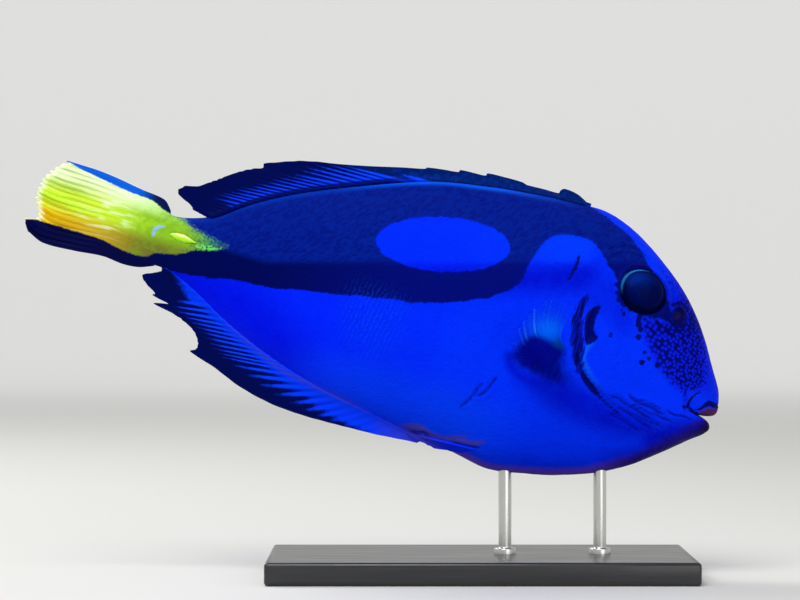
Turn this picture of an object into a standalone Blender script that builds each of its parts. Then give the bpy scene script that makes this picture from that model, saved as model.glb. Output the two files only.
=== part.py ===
# Regal blue tang, life size, swimming nose down on a plain display stand.
# The fish is modelled along its own axis, which runs from the middle of the tail stalk to the mouth:
# +X forward, +Z to the back, +Y to the fish's left, with the tip of the snout at the origin.
# One empty then tilts it and sets it over the stand. The world's origin is the middle of the base's underside.

import math

import bmesh
import bpy
from mathutils import Vector

MM = 0.001

# Size and pose of the whole fish
TOTAL_LENGTH = 220 * MM
NOSE_DOWN = math.radians(17)
SNOUT_PLACE = Vector((73.0, 0, 52.3)) * MM
GAP = 0.3 * MM

# Outlines of the body without its fins: (distance behind the snout, height), in millimetres
BACK = [
    (-0.7, 0.8), (0.5, 3.6), (2, 6.9), (5, 11.0), (12, 21.4), (20, 30.4), (30, 38.5), (42, 45.0),
    (55, 47.6), (75, 46.0), (95, 43.0), (115, 37.7), (135, 29.2), (155, 17.7), (166, 10.6), (177, 7.2),
    (185, 7.6),
]
BELLY = [
    (-0.7, -3.2), (0.5, -7.8), (2, -9.0), (5, -11.5), (10, -15.8), (20, -25.0), (30, -30.7), (45, -35.9),
    (62, -39.3), (72, -37.6), (82, -36.0), (95, -34.8), (110, -32.0), (130, -28.0), (150, -20.8), (165, -13.2),
    (177, -8.8), (185, -9.4),
]
HALF_WIDTH = [
    (-0.7, 1.6), (2, 3.6), (5, 4.9), (12, 7.2), (20, 9.2), (30, 11.6), (42, 13.8), (55, 15.0), (75, 15.2),
    (95, 13.6), (115, 11.0), (135, 8.0), (155, 5.2), (165, 4.0), (177, 3.0), (185, 2.2),
]
WIDEST_AT = [(-0.7, -3.5), (12, 0.0), (30, 4.0), (55, 6.0), (95, 5.0), (135, 1.5), (165, -0.6), (185, -0.8)]
# How fast a cross section narrows to the edge of the back and of the belly: 1 is an ellipse
BACK_PINCH, BELLY_PINCH = 1.2, 1.1
STATIONS = [
    -0.7, 0.5, 1.6, 3.2, 5.2, 7.6, 10.5, 14, 18, 22.5, 27, 32, 37, 42, 47, 53, 60, 68, 76, 85, 95, 105,
    115, 125, 135, 145, 155, 163, 170, 177, 185,
]
SECTION_POINTS = 32

# Fins, each as the tips of its rays: (distance behind the snout, height), even steps along the base
DORSAL_BASE = (54, 163.5)
DORSAL_TIPS = [
    (60, 49.2), (70, 49.0), (81, 48.5), (92, 47.0), (103, 44.6), (114, 41.8), (126.5, 39.2), (139.5, 36.0),
    (152, 31.6), (163, 25.2), (172.5, 18.8), (177.8, 14.8), (172, 11.2),
]
ANAL_BASE = (83, 174)
ANAL_TIPS = [
    (85, -37.9), (93.5, -38.9), (104, -39.4), (116, -40.0), (128, -39.8), (140, -38.0), (151, -34.2),
    (159.6, -31.0), (163, -26.0), (172.5, -20.6), (176, -18.2), (180.8, -13.6),
]
RAGGED_TIPS = {7: -1.6, 9: 2.4}
FIN_THICKNESS = 0.7 * MM
FIN_ROOT_DEPTH = 1.2
FIN_PLEAT = 0.2
DORSAL_SPINES, DORSAL_RAYS = 9, 19
ANAL_SPINES, ANAL_RAYS = 3, 18

# Tail fin: a half-closed fan of rays
TAIL_ROOT = 180.0
TAIL_ROOT_HEIGHTS = (-8.4, 6.8)
TAIL_UPPER = [(180, 8.4), (184, 11.2), (192, 12.0), (205, 13.2), (213.6, 13.5)]
TAIL_LOWER = [(180, -9.6), (186, -11.3), (196, -11.3), (206, -11.8), (219.4, -10.6)]
TAIL_END = [-0.4, -1.5, -2.6, -1.8, -1.0, -0.9, -1.0, -1.6, -3.6, -6.4]
TAIL_RAYS = 16
TAIL_PLEAT = 0.5
TAIL_SCALLOP = 0.9
TAIL_FLARES_OVER = 0.17

# Paired fins: the root from front to rear as (distance behind the snout, height), and the tips of the rays,
# for the pectoral fin with the distance out from the skin
PECTORAL_ROOT = ((51.4, 2.4), (54.6, -6.4))
PECTORAL_TIPS = [
    (55.0, 15.2, 31.0), (58.6, 16.4, 32.0), (62.4, 14.2, 28.0), (65.4, 9.6, 21.0), (66.8, 4.2, 14.0),
    (66.4, -1.2, 9.0),
]
PECTORAL_RAYS = 14
PECTORAL_BOW = 1.6
PELVIC_ROOT = ((66.5, -34.6), (70.5, -36.6))
PELVIC_TIPS = [(90.0, -35.8), (88.0, -37.2), (82.5, -37.4)]
PELVIC_RAYS = 4
PELVIC_OFF_SKIN = 0.55
PELVIC_BOW = 0.6
PELVIC_SUNK = 1.4
PELVIC_ROOT_SHARE = 0.17
KEEL_HALF_WIDTH = 1.6

# Eye: middle of the disc, its radius, how far it bulges, and the tilt of its face
EYE_PLACE = (31.9, 26.9)
EYE_RADIUS = 7.2
EYE_BULGE = 4.4
EYE_SUNK = 2.0
EYE_LOOKS_UP = math.radians(20)
EYE_LOOKS_AHEAD = math.radians(10)

# Tail spine: the folded blade on each side of the stalk
SPINE_PLACE = (171.8, 1.3)
SPINE_SIZE = (8.4, 1.6, 2.1)
SPINE_PROUD = 0.35
SPINE_TAPER = 0.55
SPINE_TURN = math.radians(-5)

# Where the body is parted: the gill opening, the front of the gill cover, the mouth and the stalk
GILL_LINE = [
    (55.4, 60), (54.9, 31), (54.5, 24), (51.8, 16), (50.0, 8), (48.2, 3), (45.0, -1.2), (40.4, -5.6),
    (34.5, -9.2), (29.8, -13), (28.6, -22), (28.6, -50),
]
COVER_FRONT = [(54.0, 24.4), (46.5, 23.0), (40.5, 15.0), (36.4, 4.0), (34.0, -8.2)]
COVER_FOOT = (35.2, -8.2)
COVER_ROOM_REAR = [(35.0, -12.0), (62.0, -12.0), (62.0, 25.4)]
COVER_DEPTH = 7.0
MOUTH_TOP = [(-4, -3.2), (2.2, -3.7), (9.0, -4.2)]
MOUTH_BOTTOM = [(-4, -5.9), (1.6, -4.9), (9.0, -4.5)]
JAW_BACK = [(13.0, -7.4), (12.2, -24.0)]
STALK_FROM = 165.0
# How far the parting blocks reach past the body
BLOCK_FRONT, BLOCK_REAR, BLOCK_TOP, BLOCK_FOOT, BLOCK_SIDE = -10.0, 200.0, 70.0, -60.0, 40.0

# Stand
BASE_SIZE = Vector((130, 74, 7)) * MM
BASE_CORNER = 10 * MM
BASE_ROUND = 1.2 * MM
ROD_RADIUS = 2.0 * MM
ROD_PLACES = {"stand_rod_rear": 7.7 * MM, "stand_rod_front": 36.9 * MM}
ROD_TOP = 42 * MM

# Colour, roughness and metallic value of each finish
FINISHES = {
    "skin": ((0.0, 0.02, 0.90), 0.45, 0.0),
    "fin": ((0.0, 0.01, 0.25), 0.50, 0.0),
    "tail": ((0.80, 0.75, 0.05), 0.50, 0.0),
    "eye": ((0.0, 0.002, 0.04), 0.12, 0.0),
    "bone": ((0.75, 0.80, 0.20), 0.40, 0.0),
    "base": ((0.02, 0.02, 0.022), 0.35, 0.0),
    "steel": ((0.60, 0.60, 0.60), 0.30, 1.0),
}


def along(points, s):
    """Height of a smooth line through the points, at distance s."""
    last = len(points) - 1
    if s <= points[0][0]:
        return points[0][1]
    if s >= points[last][0]:
        return points[last][1]
    i = max(k for k in range(last) if points[k][0] <= s)
    (s0, h0), (s1, h1) = points[i], points[i + 1]
    before = points[max(i - 1, 0)]
    after = points[min(i + 2, last)]
    slope0 = (h1 - before[1]) / (s1 - before[0])
    slope1 = (after[1] - h0) / (after[0] - s0)
    span = s1 - s0
    t = (s - s0) / span
    return (
        (2 * t**3 - 3 * t**2 + 1) * h0
        + (t**3 - 2 * t**2 + t) * span * slope0
        + (3 * t**2 - 2 * t**3) * h1
        + (t**3 - t**2) * span * slope1
    )


def between(points, f):
    """Point at the share f, from 0 to 1, of a list of points taken at even steps, smoothed."""
    steps = len(points) - 1
    return [along([(k / steps, p[axis]) for k, p in enumerate(points)], f) for axis in range(len(points[0]))]


def fish(s, y, h):
    """A point in the fish's own frame, in metres, from millimetres behind the snout, to the left and up."""
    return Vector((-s, y, h)) * MM


def section_point(s, angle, grow=0.0):
    """A point on the body's skin: angle 0 is the left flank, a quarter turn is the back."""
    middle = along(WIDEST_AT, s)
    half = along(HALF_WIDTH, s) + grow
    edge = along(BACK, s) + grow if math.sin(angle) > 0 else along(BELLY, s) - grow
    pinch = BACK_PINCH if math.sin(angle) > 0 else BELLY_PINCH
    reach = math.copysign(abs(math.cos(angle)) ** pinch, math.cos(angle))
    return fish(s, half * reach, middle + abs(math.sin(angle)) * (edge - middle))


def flank(s, h):
    """Distance of the skin from the middle plane, in millimetres, at a place on the side of the body."""
    middle = along(WIDEST_AT, s)
    edge, pinch = (along(BACK, s), BACK_PINCH) if h > middle else (along(BELLY, s), BELLY_PINCH)
    share = min(1.0, abs((h - middle) / (edge - middle)))
    return along(HALF_WIDTH, s) * math.sqrt(1 - share**2) ** pinch


def new_object(name, mesh, finish=None):
    """Puts a mesh in the fish's or the helpers' collection, with its material."""
    thing = bpy.data.objects.new(name, mesh)
    if finish:
        mesh.materials.append(finish_of(finish))
        tang.objects.link(thing)
    else:
        thing.hide_render = True
        thing.display_type = "WIRE"
        helpers.objects.link(thing)
    return thing


def finish_of(name):
    """The Principled material of a finish, made once."""
    found = bpy.data.materials.get(name)
    if found:
        return found
    colour, roughness, metallic = FINISHES[name]
    material = bpy.data.materials.new(name)
    material.use_nodes = True
    shader = material.node_tree.nodes["Principled BSDF"]
    shader.inputs["Base Color"].default_value = (*colour, 1)
    shader.inputs["Roughness"].default_value = roughness
    shader.inputs["Metallic"].default_value = metallic
    return material


def mesh_from(name, shape):
    """Turns a bmesh into a mesh with its faces pointing out, shaded smooth."""
    bmesh.ops.recalc_face_normals(shape, faces=shape.faces)
    mesh = bpy.data.meshes.new(name)
    shape.to_mesh(mesh)
    shape.free()
    mesh.shade_smooth()
    mesh.set_sharp_from_angle(angle=math.radians(40))
    return mesh


def body_mesh(name, grow=0.0):
    """The whole body, from lips to tail stalk, as one closed loft through its cross sections."""
    shape = bmesh.new()
    stations = list(STATIONS)
    if grow:
        stations[0] -= grow
        stations[-1] += grow
    rings = []
    for s in stations:
        turns = (math.tau * k / SECTION_POINTS for k in range(SECTION_POINTS))
        rings.append([shape.verts.new(section_point(s, turn, grow)) for turn in turns])
    for ring, following in zip(rings, rings[1:]):
        for k in range(SECTION_POINTS):
            n = (k + 1) % SECTION_POINTS
            shape.faces.new((ring[k], ring[n], following[n], following[k]))
    shape.faces.new(rings[0])
    shape.faces.new(rings[-1])
    return mesh_from(name, shape)


def prism(name, outline, y_from=-BLOCK_SIDE, y_to=BLOCK_SIDE):
    """A helper block: an outline seen from the side, carried across the fish."""
    shape = bmesh.new()
    face = shape.faces.new([shape.verts.new(fish(s, y_from, h)) for s, h in outline])
    grown = bmesh.ops.extrude_face_region(shape, geom=[face])
    moved = [part for part in grown["geom"] if isinstance(part, bmesh.types.BMVert)]
    bmesh.ops.translate(shape, verts=moved, vec=Vector((0, y_to - y_from, 0)) * MM)
    bmesh.ops.triangulate(shape, faces=shape.faces)
    block = new_object(name, mesh_from(name, shape))
    block.parent = pose
    return block


def boolean(thing, other, operation):
    """Cuts a piece with a helper, or keeps only what they share."""
    cut = thing.modifiers.new(operation.title() + " " + other.name, "BOOLEAN")
    cut.operation = operation
    cut.object = other
    cut.solver = "EXACT"


def body_part(name, keep, *take_away):
    """One length of the body: the whole loft kept inside one block and cut by others."""
    thing = new_object(name, body_mesh(name), "skin")
    thing.parent = pose
    boolean(thing, keep, "INTERSECT")
    for other in take_away:
        boolean(thing, other, "DIFFERENCE")
    return thing


def shifted(line, s, h):
    return [(a + s, b + h) for a, b in line]


def side_prism(name, outline, sign, inner):
    """A helper block on one side of the fish, from a distance off the middle plane outwards."""
    reach = (sign * inner, sign * BLOCK_SIDE)
    return prism(name, outline, min(reach), max(reach))


def make_gill_cover(side, sign):
    """One plate of the body's side in a flat-floored recess of the head. Returns the recess."""
    gap = GAP / MM
    above, below = COVER_FRONT[0][1], COVER_FRONT[-1][1]
    rear_edge = shifted([p for p in GILL_LINE if below < p[1] < above], -gap, gap)
    outline = [*COVER_FRONT, COVER_FOOT, *reversed(rear_edge)]
    body_part(f"gill_cover_{side}", side_prism(f"cover_block_{side}", outline, sign, COVER_DEPTH + gap))
    room = [*shifted(COVER_FRONT, -gap, gap), *COVER_ROOM_REAR]
    return side_prism(f"cover_room_{side}", room, sign, COVER_DEPTH)


def make_body():
    """Head, lower jaw, gill covers, trunk and stalk, parted by thin cuts."""
    gap = GAP / MM
    jaw_foot = (BLOCK_FRONT, JAW_BACK[-1][1])
    room_outline = [*MOUTH_TOP, *shifted(JAW_BACK, gap, gap), jaw_foot, (BLOCK_FRONT, MOUTH_TOP[0][1])]
    jaw_outline = [*MOUTH_BOTTOM, *JAW_BACK, jaw_foot, (BLOCK_FRONT, MOUTH_BOTTOM[0][1])]
    body_part("lower_jaw", prism("jaw_block", jaw_outline))
    rooms = [prism("jaw_room", room_outline)]
    rooms += [make_gill_cover(side, sign) for side, sign in (("left", 1), ("right", -1))]
    rooms += [eye(f"eye_room_{side}", side, gap) for side in ("left", "right")]
    head_outline = [(BLOCK_FRONT, BLOCK_TOP), *shifted(GILL_LINE, -gap, gap), (BLOCK_FRONT, BLOCK_FOOT)]
    body_part("head", prism("head_block", head_outline), *rooms)
    trunk_outline = [*GILL_LINE, (STALK_FROM, BLOCK_FOOT), (STALK_FROM, BLOCK_TOP)]
    body_part("trunk", prism("trunk_block", trunk_outline))
    start = STALK_FROM + gap
    stalk_outline = [(start, BLOCK_TOP), (start, BLOCK_FOOT), (BLOCK_REAR, BLOCK_FOOT), (BLOCK_REAR, BLOCK_TOP)]
    body_part("tail_stalk", prism("stalk_block", stalk_outline))


def eye(name, side, grow=0.0):
    """A flattened ball that bulges from the head and looks a little up and ahead."""
    sign = 1 if side == "left" else -1
    shape = bmesh.new()
    bmesh.ops.create_uvsphere(shape, u_segments=20, v_segments=12, radius=1.0)
    bmesh.ops.rotate(shape, verts=shape.verts, matrix=quarter_turn)
    radius = EYE_RADIUS + grow
    bmesh.ops.scale(shape, verts=shape.verts, vec=Vector((radius, EYE_BULGE + grow, radius)) * MM)
    thing = new_object(name, mesh_from(name, shape), None if grow else "eye")
    s, h = EYE_PLACE
    thing.location = fish(s, sign * (flank(s, h) - EYE_SUNK), h)
    thing.rotation_euler = (sign * EYE_LOOKS_UP, 0, -sign * EYE_LOOKS_AHEAD)
    thing.parent = pose
    return thing


def fin_sheet(name, finish, place, across, lengthways):
    """A thin fin: a grid laid out by place(u, v), thickened and trimmed where it meets the body."""
    shape = bmesh.new()
    bmesh.ops.create_grid(shape, x_segments=across, y_segments=lengthways, size=0.5)
    for vert in shape.verts:
        vert.co = place(vert.co.x + 0.5, vert.co.y + 0.5)
    mesh = mesh_from(name, shape)
    thing = new_object(name, mesh, finish)
    thing.parent = pose
    wall = thing.modifiers.new("Thickness", "SOLIDIFY")
    wall.thickness = FIN_THICKNESS
    wall.offset = 0
    boolean(thing, clearance, "DIFFERENCE")
    return thing


def median_fin(name, base, edge, tips, spines, rays, ragged=None):
    """The dorsal or the anal fin, its rays laid back along the body, with a low pleat at each ray."""
    outline = [(s, h + (ragged or {}).get(k, 0.0)) for k, (s, h) in enumerate(tips)]
    inward = -1 if edge is BACK else 1
    rays_in_all = spines + rays

    def place(u, v):
        s = base[0] + (base[1] - base[0]) * u
        root = Vector((s, along(edge, s) + inward * FIN_ROOT_DEPTH))
        tip = Vector(between(outline, u))
        point = root.lerp(tip, v)
        pleat = FIN_PLEAT * math.sin(math.pi * v) * math.cos(math.pi * rays_in_all * u)
        return fish(point.x, pleat, point.y)

    fin_sheet(name, "fin", place, rays_in_all, 5)


def make_tail_fin():
    """A half-closed fan: straight rays from the stalk to a scalloped rear edge, folded at each ray."""
    reach = TOTAL_LENGTH / MM - TAIL_ROOT

    def place(u, v):
        low = along(TAIL_LOWER, TAIL_ROOT + reach * v)
        high = along(TAIL_UPPER, TAIL_ROOT + reach * v)
        root = TAIL_ROOT_HEIGHTS[0] + (TAIL_ROOT_HEIGHTS[1] - TAIL_ROOT_HEIGHTS[0]) * u
        spread = min(1.0, v / TAIL_FLARES_OVER)
        h = root + (low + (high - low) * u - root) * spread
        end = TAIL_ROOT + reach + between([(x,) for x in TAIL_END], u)[0]
        fold = math.cos(2 * math.pi * (TAIL_RAYS - 1) * u)
        end -= TAIL_SCALLOP * (1 - fold) / 2 * v
        return fish(TAIL_ROOT + (end - TAIL_ROOT) * v, TAIL_PLEAT * fold * v, h)

    fin_sheet("tail_fin", "tail", place, 2 * (TAIL_RAYS - 1), 6)


def make_pectoral_fin(side):
    """A spread fan that sweeps out, back and up from just behind the gill opening."""
    sign = 1 if side == "left" else -1

    def place(u, v):
        (s0, h0), (s1, h1) = PECTORAL_ROOT
        s, h = s0 + (s1 - s0) * u, h0 + (h1 - h0) * u
        root = Vector((s, flank(s, h) - FIN_ROOT_DEPTH, h))
        tip_s, tip_h, out = between(PECTORAL_TIPS, u)
        tip = Vector((tip_s, flank(s, h) + out, tip_h))
        point = root.lerp(tip, v)
        bow = PECTORAL_BOW * math.sin(math.pi * v)
        pleat = FIN_PLEAT * math.sin(math.pi * v) * math.cos(math.pi * PECTORAL_RAYS * u)
        return fish(point.x - bow + pleat, sign * point.y, point.z)

    fin_sheet(f"pectoral_fin_{side}", "fin", place, PECTORAL_RAYS, 5)


def make_pelvic_fin(side):
    """A narrow fin folded back against the belly."""
    sign = 1 if side == "left" else -1

    def place(u, v):
        (s0, h0), (s1, h1) = PELVIC_ROOT
        root = Vector((s0 + (s1 - s0) * u, h0 + (h1 - h0) * u))
        point = root.lerp(Vector(between(PELVIC_TIPS, u)), v)
        off = PELVIC_OFF_SKIN + PELVIC_BOW * math.sin(math.pi * v)
        sunk = PELVIC_SUNK * (1 - min(1.0, v / PELVIC_ROOT_SHARE))
        y = max(flank(point.x, point.y), KEEL_HALF_WIDTH) + off - sunk
        return fish(point.x, sign * y, point.y)

    fin_sheet(f"pelvic_fin_{side}", "fin", place, PELVIC_RAYS, 8)


def make_tail_spine(side):
    """The folded blade, a slim lens that lies along the stalk with its point ahead."""
    sign = 1 if side == "left" else -1
    length, width, height = SPINE_SIZE
    shape = bmesh.new()
    bmesh.ops.create_uvsphere(shape, u_segments=10, v_segments=8, radius=0.5)
    bmesh.ops.rotate(shape, verts=shape.verts, matrix=quarter_turn)
    for vert in shape.verts:
        sharp = 1 - SPINE_TAPER * max(0.0, vert.co.x * 2)
        vert.co = Vector((vert.co.x * length, vert.co.y * width, vert.co.z * height * sharp)) * MM
    thing = new_object(f"tail_spine_{side}", mesh_from("tail_spine", shape), "bone")
    s, h = SPINE_PLACE
    thing.location = fish(s, sign * (flank(s, h) + SPINE_PROUD), h)
    thing.rotation_euler = (0, 0, sign * SPINE_TURN)
    thing.parent = pose
    boolean(thing, clearance, "DIFFERENCE")


def make_stand():
    """A flat base with rounded corners and two short rods up to the belly."""
    shape = bmesh.new()
    bmesh.ops.create_cube(shape, size=1.0)
    bmesh.ops.scale(shape, verts=shape.verts, vec=BASE_SIZE)
    bmesh.ops.translate(shape, verts=shape.verts, vec=(0, 0, BASE_SIZE.z / 2))
    upright = [e for e in shape.edges if abs(e.verts[0].co.z - e.verts[1].co.z) > BASE_SIZE.z / 2]
    bmesh.ops.bevel(shape, geom=upright, offset=BASE_CORNER, segments=8, profile=0.5, affect="EDGES")
    top = [e for e in shape.edges if min(v.co.z for v in e.verts) > BASE_SIZE.z * 0.99]
    rim = [e for e in top if len(e.link_faces) == 2 and any(abs(f.normal.z) < 0.5 for f in e.link_faces)]
    bmesh.ops.bevel(shape, geom=rim, offset=BASE_ROUND, segments=3, profile=0.5, affect="EDGES")
    new_object("stand_base", mesh_from("stand_base", shape), "base")
    for name, x in ROD_PLACES.items():
        shape = bmesh.new()
        height = ROD_TOP - BASE_SIZE.z - GAP
        bmesh.ops.create_cone(
            shape, cap_ends=True, segments=24, radius1=ROD_RADIUS, radius2=ROD_RADIUS, depth=height
        )
        rod = new_object(name, mesh_from(name, shape), "steel")
        rod.location = (x, 0, BASE_SIZE.z + GAP + height / 2)
        boolean(rod, clearance, "DIFFERENCE")


for leftover in list(bpy.data.objects):
    bpy.data.objects.remove(leftover)
quarter_turn = Vector((0, 0, 1)).rotation_difference(Vector((0, 1, 0))).to_matrix()
tang = bpy.data.collections.new("regal_blue_tang")
helpers = bpy.data.collections.new("helpers")
for group in (tang, helpers):
    bpy.context.scene.collection.children.link(group)
pose = bpy.data.objects.new("pose", None)
pose.location = SNOUT_PLACE
pose.rotation_euler = (0, NOSE_DOWN, 0)
tang.objects.link(pose)
clearance = new_object("clearance", body_mesh("clearance", GAP / MM))
clearance.parent = pose

make_body()
make_tail_fin()
median_fin("dorsal_fin", DORSAL_BASE, BACK, DORSAL_TIPS, DORSAL_SPINES, DORSAL_RAYS)
median_fin("anal_fin", ANAL_BASE, BELLY, ANAL_TIPS, ANAL_SPINES, ANAL_RAYS, RAGGED_TIPS)
for side_name in ("left", "right"):
    eye(f"eye_{side_name}", side_name)
    make_pectoral_fin(side_name)
    make_pelvic_fin(side_name)
    make_tail_spine(side_name)
make_stand()
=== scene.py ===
"""Looks of the regal blue tang: skin, eyes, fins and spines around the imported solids, stand and studio."""

import math
from functools import partial

import bmesh
import bpy
import numpy as np
from mathutils import Matrix, Vector, noise


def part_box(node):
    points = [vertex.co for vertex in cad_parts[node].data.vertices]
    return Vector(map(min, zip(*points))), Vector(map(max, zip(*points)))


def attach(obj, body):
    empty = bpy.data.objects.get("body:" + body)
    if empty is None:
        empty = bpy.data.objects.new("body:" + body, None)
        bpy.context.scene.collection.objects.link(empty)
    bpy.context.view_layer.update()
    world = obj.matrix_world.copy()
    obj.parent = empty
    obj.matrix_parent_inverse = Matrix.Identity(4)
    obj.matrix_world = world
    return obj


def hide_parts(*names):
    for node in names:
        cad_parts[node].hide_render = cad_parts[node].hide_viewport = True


bl_info = {
    "name": "Regal blue tang",
    "version": (1, 0, 0),
    "blender": (4, 5, 0),
    "location": "3D View > Sidebar > Tang",
    "description": "Models the skin, fins, eyes and stand of a life-size regal blue tang",
    "category": "Object",
}

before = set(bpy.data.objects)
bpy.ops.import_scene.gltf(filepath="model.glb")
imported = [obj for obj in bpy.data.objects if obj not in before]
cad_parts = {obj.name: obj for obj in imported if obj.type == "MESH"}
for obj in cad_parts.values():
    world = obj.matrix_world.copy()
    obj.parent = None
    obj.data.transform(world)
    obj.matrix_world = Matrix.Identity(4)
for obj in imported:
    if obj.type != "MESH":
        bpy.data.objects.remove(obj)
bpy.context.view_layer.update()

# Units and the fish's own frame: s is millimetres behind the snout, y to its left, h above its axis. The
# snout's place over the stand is in millimetres too
MM = 0.001
NOSE_DOWN = math.radians(17)
SNOUT_PLACE = (73.0, 0, 52.3)
BODY = "root"
SIDES = {"left": 1, "right": -1}

# Body outlines in millimetres: (distance behind the snout, height)
BACK = [
    (-0.7, 0.6), (0, 2.9), (1.6, 6), (5, 11.2), (8, 16.4), (14.5, 25.2), (21, 31.7), (30, 38.4), (40, 44.3),
    (50, 47.4), (60, 47.2), (70, 46.5), (85, 44.7), (100, 42), (115, 37.2), (129, 31.5), (140, 26.6),
    (150, 21.4), (158, 16.1), (164.6, 10.9), (170, 8.7), (177, 7), (183, 8.3), (189, 9.2),
]
BELLY = [
    (-0.7, -3.2), (0.4, -8), (4.8, -12.1), (9, -15.8), (15, -20.9), (20, -25), (30, -30.6), (40, -34.5),
    (50, -37.1), (62, -39.2), (70, -38), (80, -36.3), (90, -35.2), (105, -32.8), (120, -30.3), (135, -26.3),
    (150, -20.7), (165, -13.1), (175, -9.2), (182, -9.4), (189, -9.4),
]
HALF_WIDTH = [
    (-0.7, 1.7), (2, 3.5), (5, 4.8), (12, 7.1), (20, 9.1), (30, 11.5), (42, 13.7), (55, 14.8), (75, 15),
    (95, 13.4), (115, 10.8), (135, 7.8), (155, 5.1), (165, 3.9), (177, 3), (182, 2.6), (186, 1.5),
    (189, 0.5),
]
WIDEST_AT = [
    (-0.7, -4), (8, -3.4), (14, -1.5), (22, 2), (32, 4.5), (55, 6), (95, 5), (135, 1.5), (165, -0.6),
    (189, -0.8),
]
# How sharply the body's cross section ends at the back and at the belly: 1 is an ellipse
BACK_PINCH, BELLY_PINCH = 1.2, 1.1

# Rings of the skin from the stalk to the lips: how far behind the snout each lies at back, flank and belly
STRAIGHT_RINGS = [
    188.6, 187, 184.5, 182, 179, 176, 173, 170, 167, 163.5, 159.5, 155, 150, 144.5, 138.5, 132, 125.5, 119,
    112.5, 106, 99.5, 93.5, 88, 83, 78.5, 74.5, 70.8, 67.4, 64.2, 61.2, 58.4, 55.8, 53.4, 51.2, 49.2, 47.3,
    45.5, 43.8, 42.2, 40.6, 39, 37.4,
]
FACE_RINGS = [
    (35.2, 35.9, 35.3), (32.9, 34.4, 33.2), (30.6, 32.9, 31), (28.3, 31.4, 28.8), (26, 29.9, 26.6),
    (23.7, 28.4, 24.4), (21.4, 26.9, 22.2), (19.2, 25.4, 20), (17, 23.9, 17.9), (14.9, 22.4, 15.8),
    (12.9, 20.9, 13.8), (10.9, 19.4, 11.8), (9, 17.9, 9.9), (7.2, 16.5, 8.1), (5.5, 15.1, 6.4),
    (4, 13.8, 4.9), (2.7, 12.6, 3.5), (1.6, 11.6, 2.3), (0.7, 10.8, 1.3),
]
# How late a ring turns from its side's place to its top's or bottom's
FACE_BEND = 1.8
# Rings of the lips and the mouth's inside: place at the top, the corner (with its distance off the middle)
# and the bottom, and how much of the way from the corner the lips are closed
LIP_RINGS = [
    ((-0.1, 1.6), (10.2, -3.5, 5.5), (0.6, -8.3), 0),
    ((-0.5, 0.2), (9.8, -3.6, 5.3), (0.3, -7.8), 0),
    ((-0.6, -1.2), (9.4, -3.8, 5), (0.2, -7.1), 0.08),
    ((-0.5, -2.4), (9, -4, 4.7), (0.45, -6.3), 0.4),
    ((0.3, -3.3), (8.7, -4.1, 4.4), (1.1, -5.5), 0.74),
    ((1.6, -3.8), (8.4, -4.2, 4), (2.3, -4.9), 0.8),
    ((3.2, -4.2), (8.2, -4.25, 3.2), (3.5, -4.65), 0.8),
    ((5.2, -4.3), (8, -4.3, 2.2), (5.4, -4.5), 0.8),
]
MOUTH_END = (7.4, -4.35)
SKIN_SIDES = 64
LIPS_FROM = len(STRAIGHT_RINGS) + len(FACE_RINGS)

# Eye, in the fish's frame
EYE_PLACE = (32.95, 26.5)
EYE_SUNK = 2.3
SOCKET_RADIUS = 7.25
EYE_LOOKS_UP, EYE_LOOKS_AHEAD = math.radians(19), math.radians(13)
# Ovals, as their middle, half sizes and tilt
NOSTRIL, SMALL_NOSTRIL = ((20.2, 23.2), (1.75, 2.25), 0.2), ((24.0, 24.4), (0.7, 1.2), 0.3)
OVAL = (95.3, 22.8), (20.5, 8.4), math.radians(-13.5)

# Markings and painted shade, as outlines and lines in (distance behind the snout, height)
BAND = [
    (28.4, 31.9), (31, 33.6), (33.4, 35.4), (36, 38.4), (40, 41.3), (43.4, 43.1), (49, 45.5), (55, 47.2),
    (58.5, 49), (60, 51), (75, 51), (100, 47), (120, 40), (140, 31), (160, 20), (178, 10), (192, 14),
    (192, -13), (175, -9.6), (170, -9), (165, -8.5), (160, -7.7), (155, -6.5), (150, -5.9), (145, -5.6),
    (140, -5), (135, -3.8), (130, -2.7), (125, -1.9), (120, -0.8), (115, 0.5), (110, 1.2), (105, 2.4),
    (100, 2.9), (95, 4.2), (90, 5.8), (85, 7.7), (81.9, 9.2), (77.3, 11.2), (75, 13.1), (71.9, 15.4),
    (69.6, 18.5), (68.8, 23), (68.1, 26.9), (66.9, 30.4), (65.6, 33.5), (62.7, 35.8), (59.6, 36.9),
    (55, 37.3), (51.9, 36.9), (49.6, 35.4), (47.3, 33.5), (45.4, 31.5), (42.7, 29.4), (40.8, 25.6),
    (39.4, 22.3), (37.4, 20.6), (34, 20.1), (30, 19.7), (26.5, 20.3), (23.6, 20.7), (22.4, 21.8),
    (22.5, 23.8), (23.8, 25.6), (25, 27.4), (26.4, 29.8),
]
YELLOW = [
    (158.2, 2.8), (163.3, 3.7), (169.8, 5.1), (174.2, 6.9), (180.3, 7.9), (184.6, 9.7), (191.6, 10.2),
    (200.3, 11.3), (209, 12.6), (214, 13.5), (224, 12), (224, -6.4), (217, -6.3), (205, -6.2),
    (195.9, -6.3), (191.6, -7.2), (185, -7.8), (181.1, -7.2), (179.4, -5.5), (175.9, -4.8), (172, -3.7),
    (167.7, -1.2), (162.9, 0.3),
]
# Dark dots, with their radius
DARK_DOTS = [
    (38.7, 11.3, 0.75), (36.5, 18.7, 0.7), (33.9, 3.5, 0.35), (26.9, 6.1, 0.9), (22.1, 6.6, 0.85),
    (27.1, 9.3, 0.6), (25.2, 7.9, 0.7), (30.3, 15.6, 0.95), (30.2, 13.1, 0.95),
]
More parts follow.
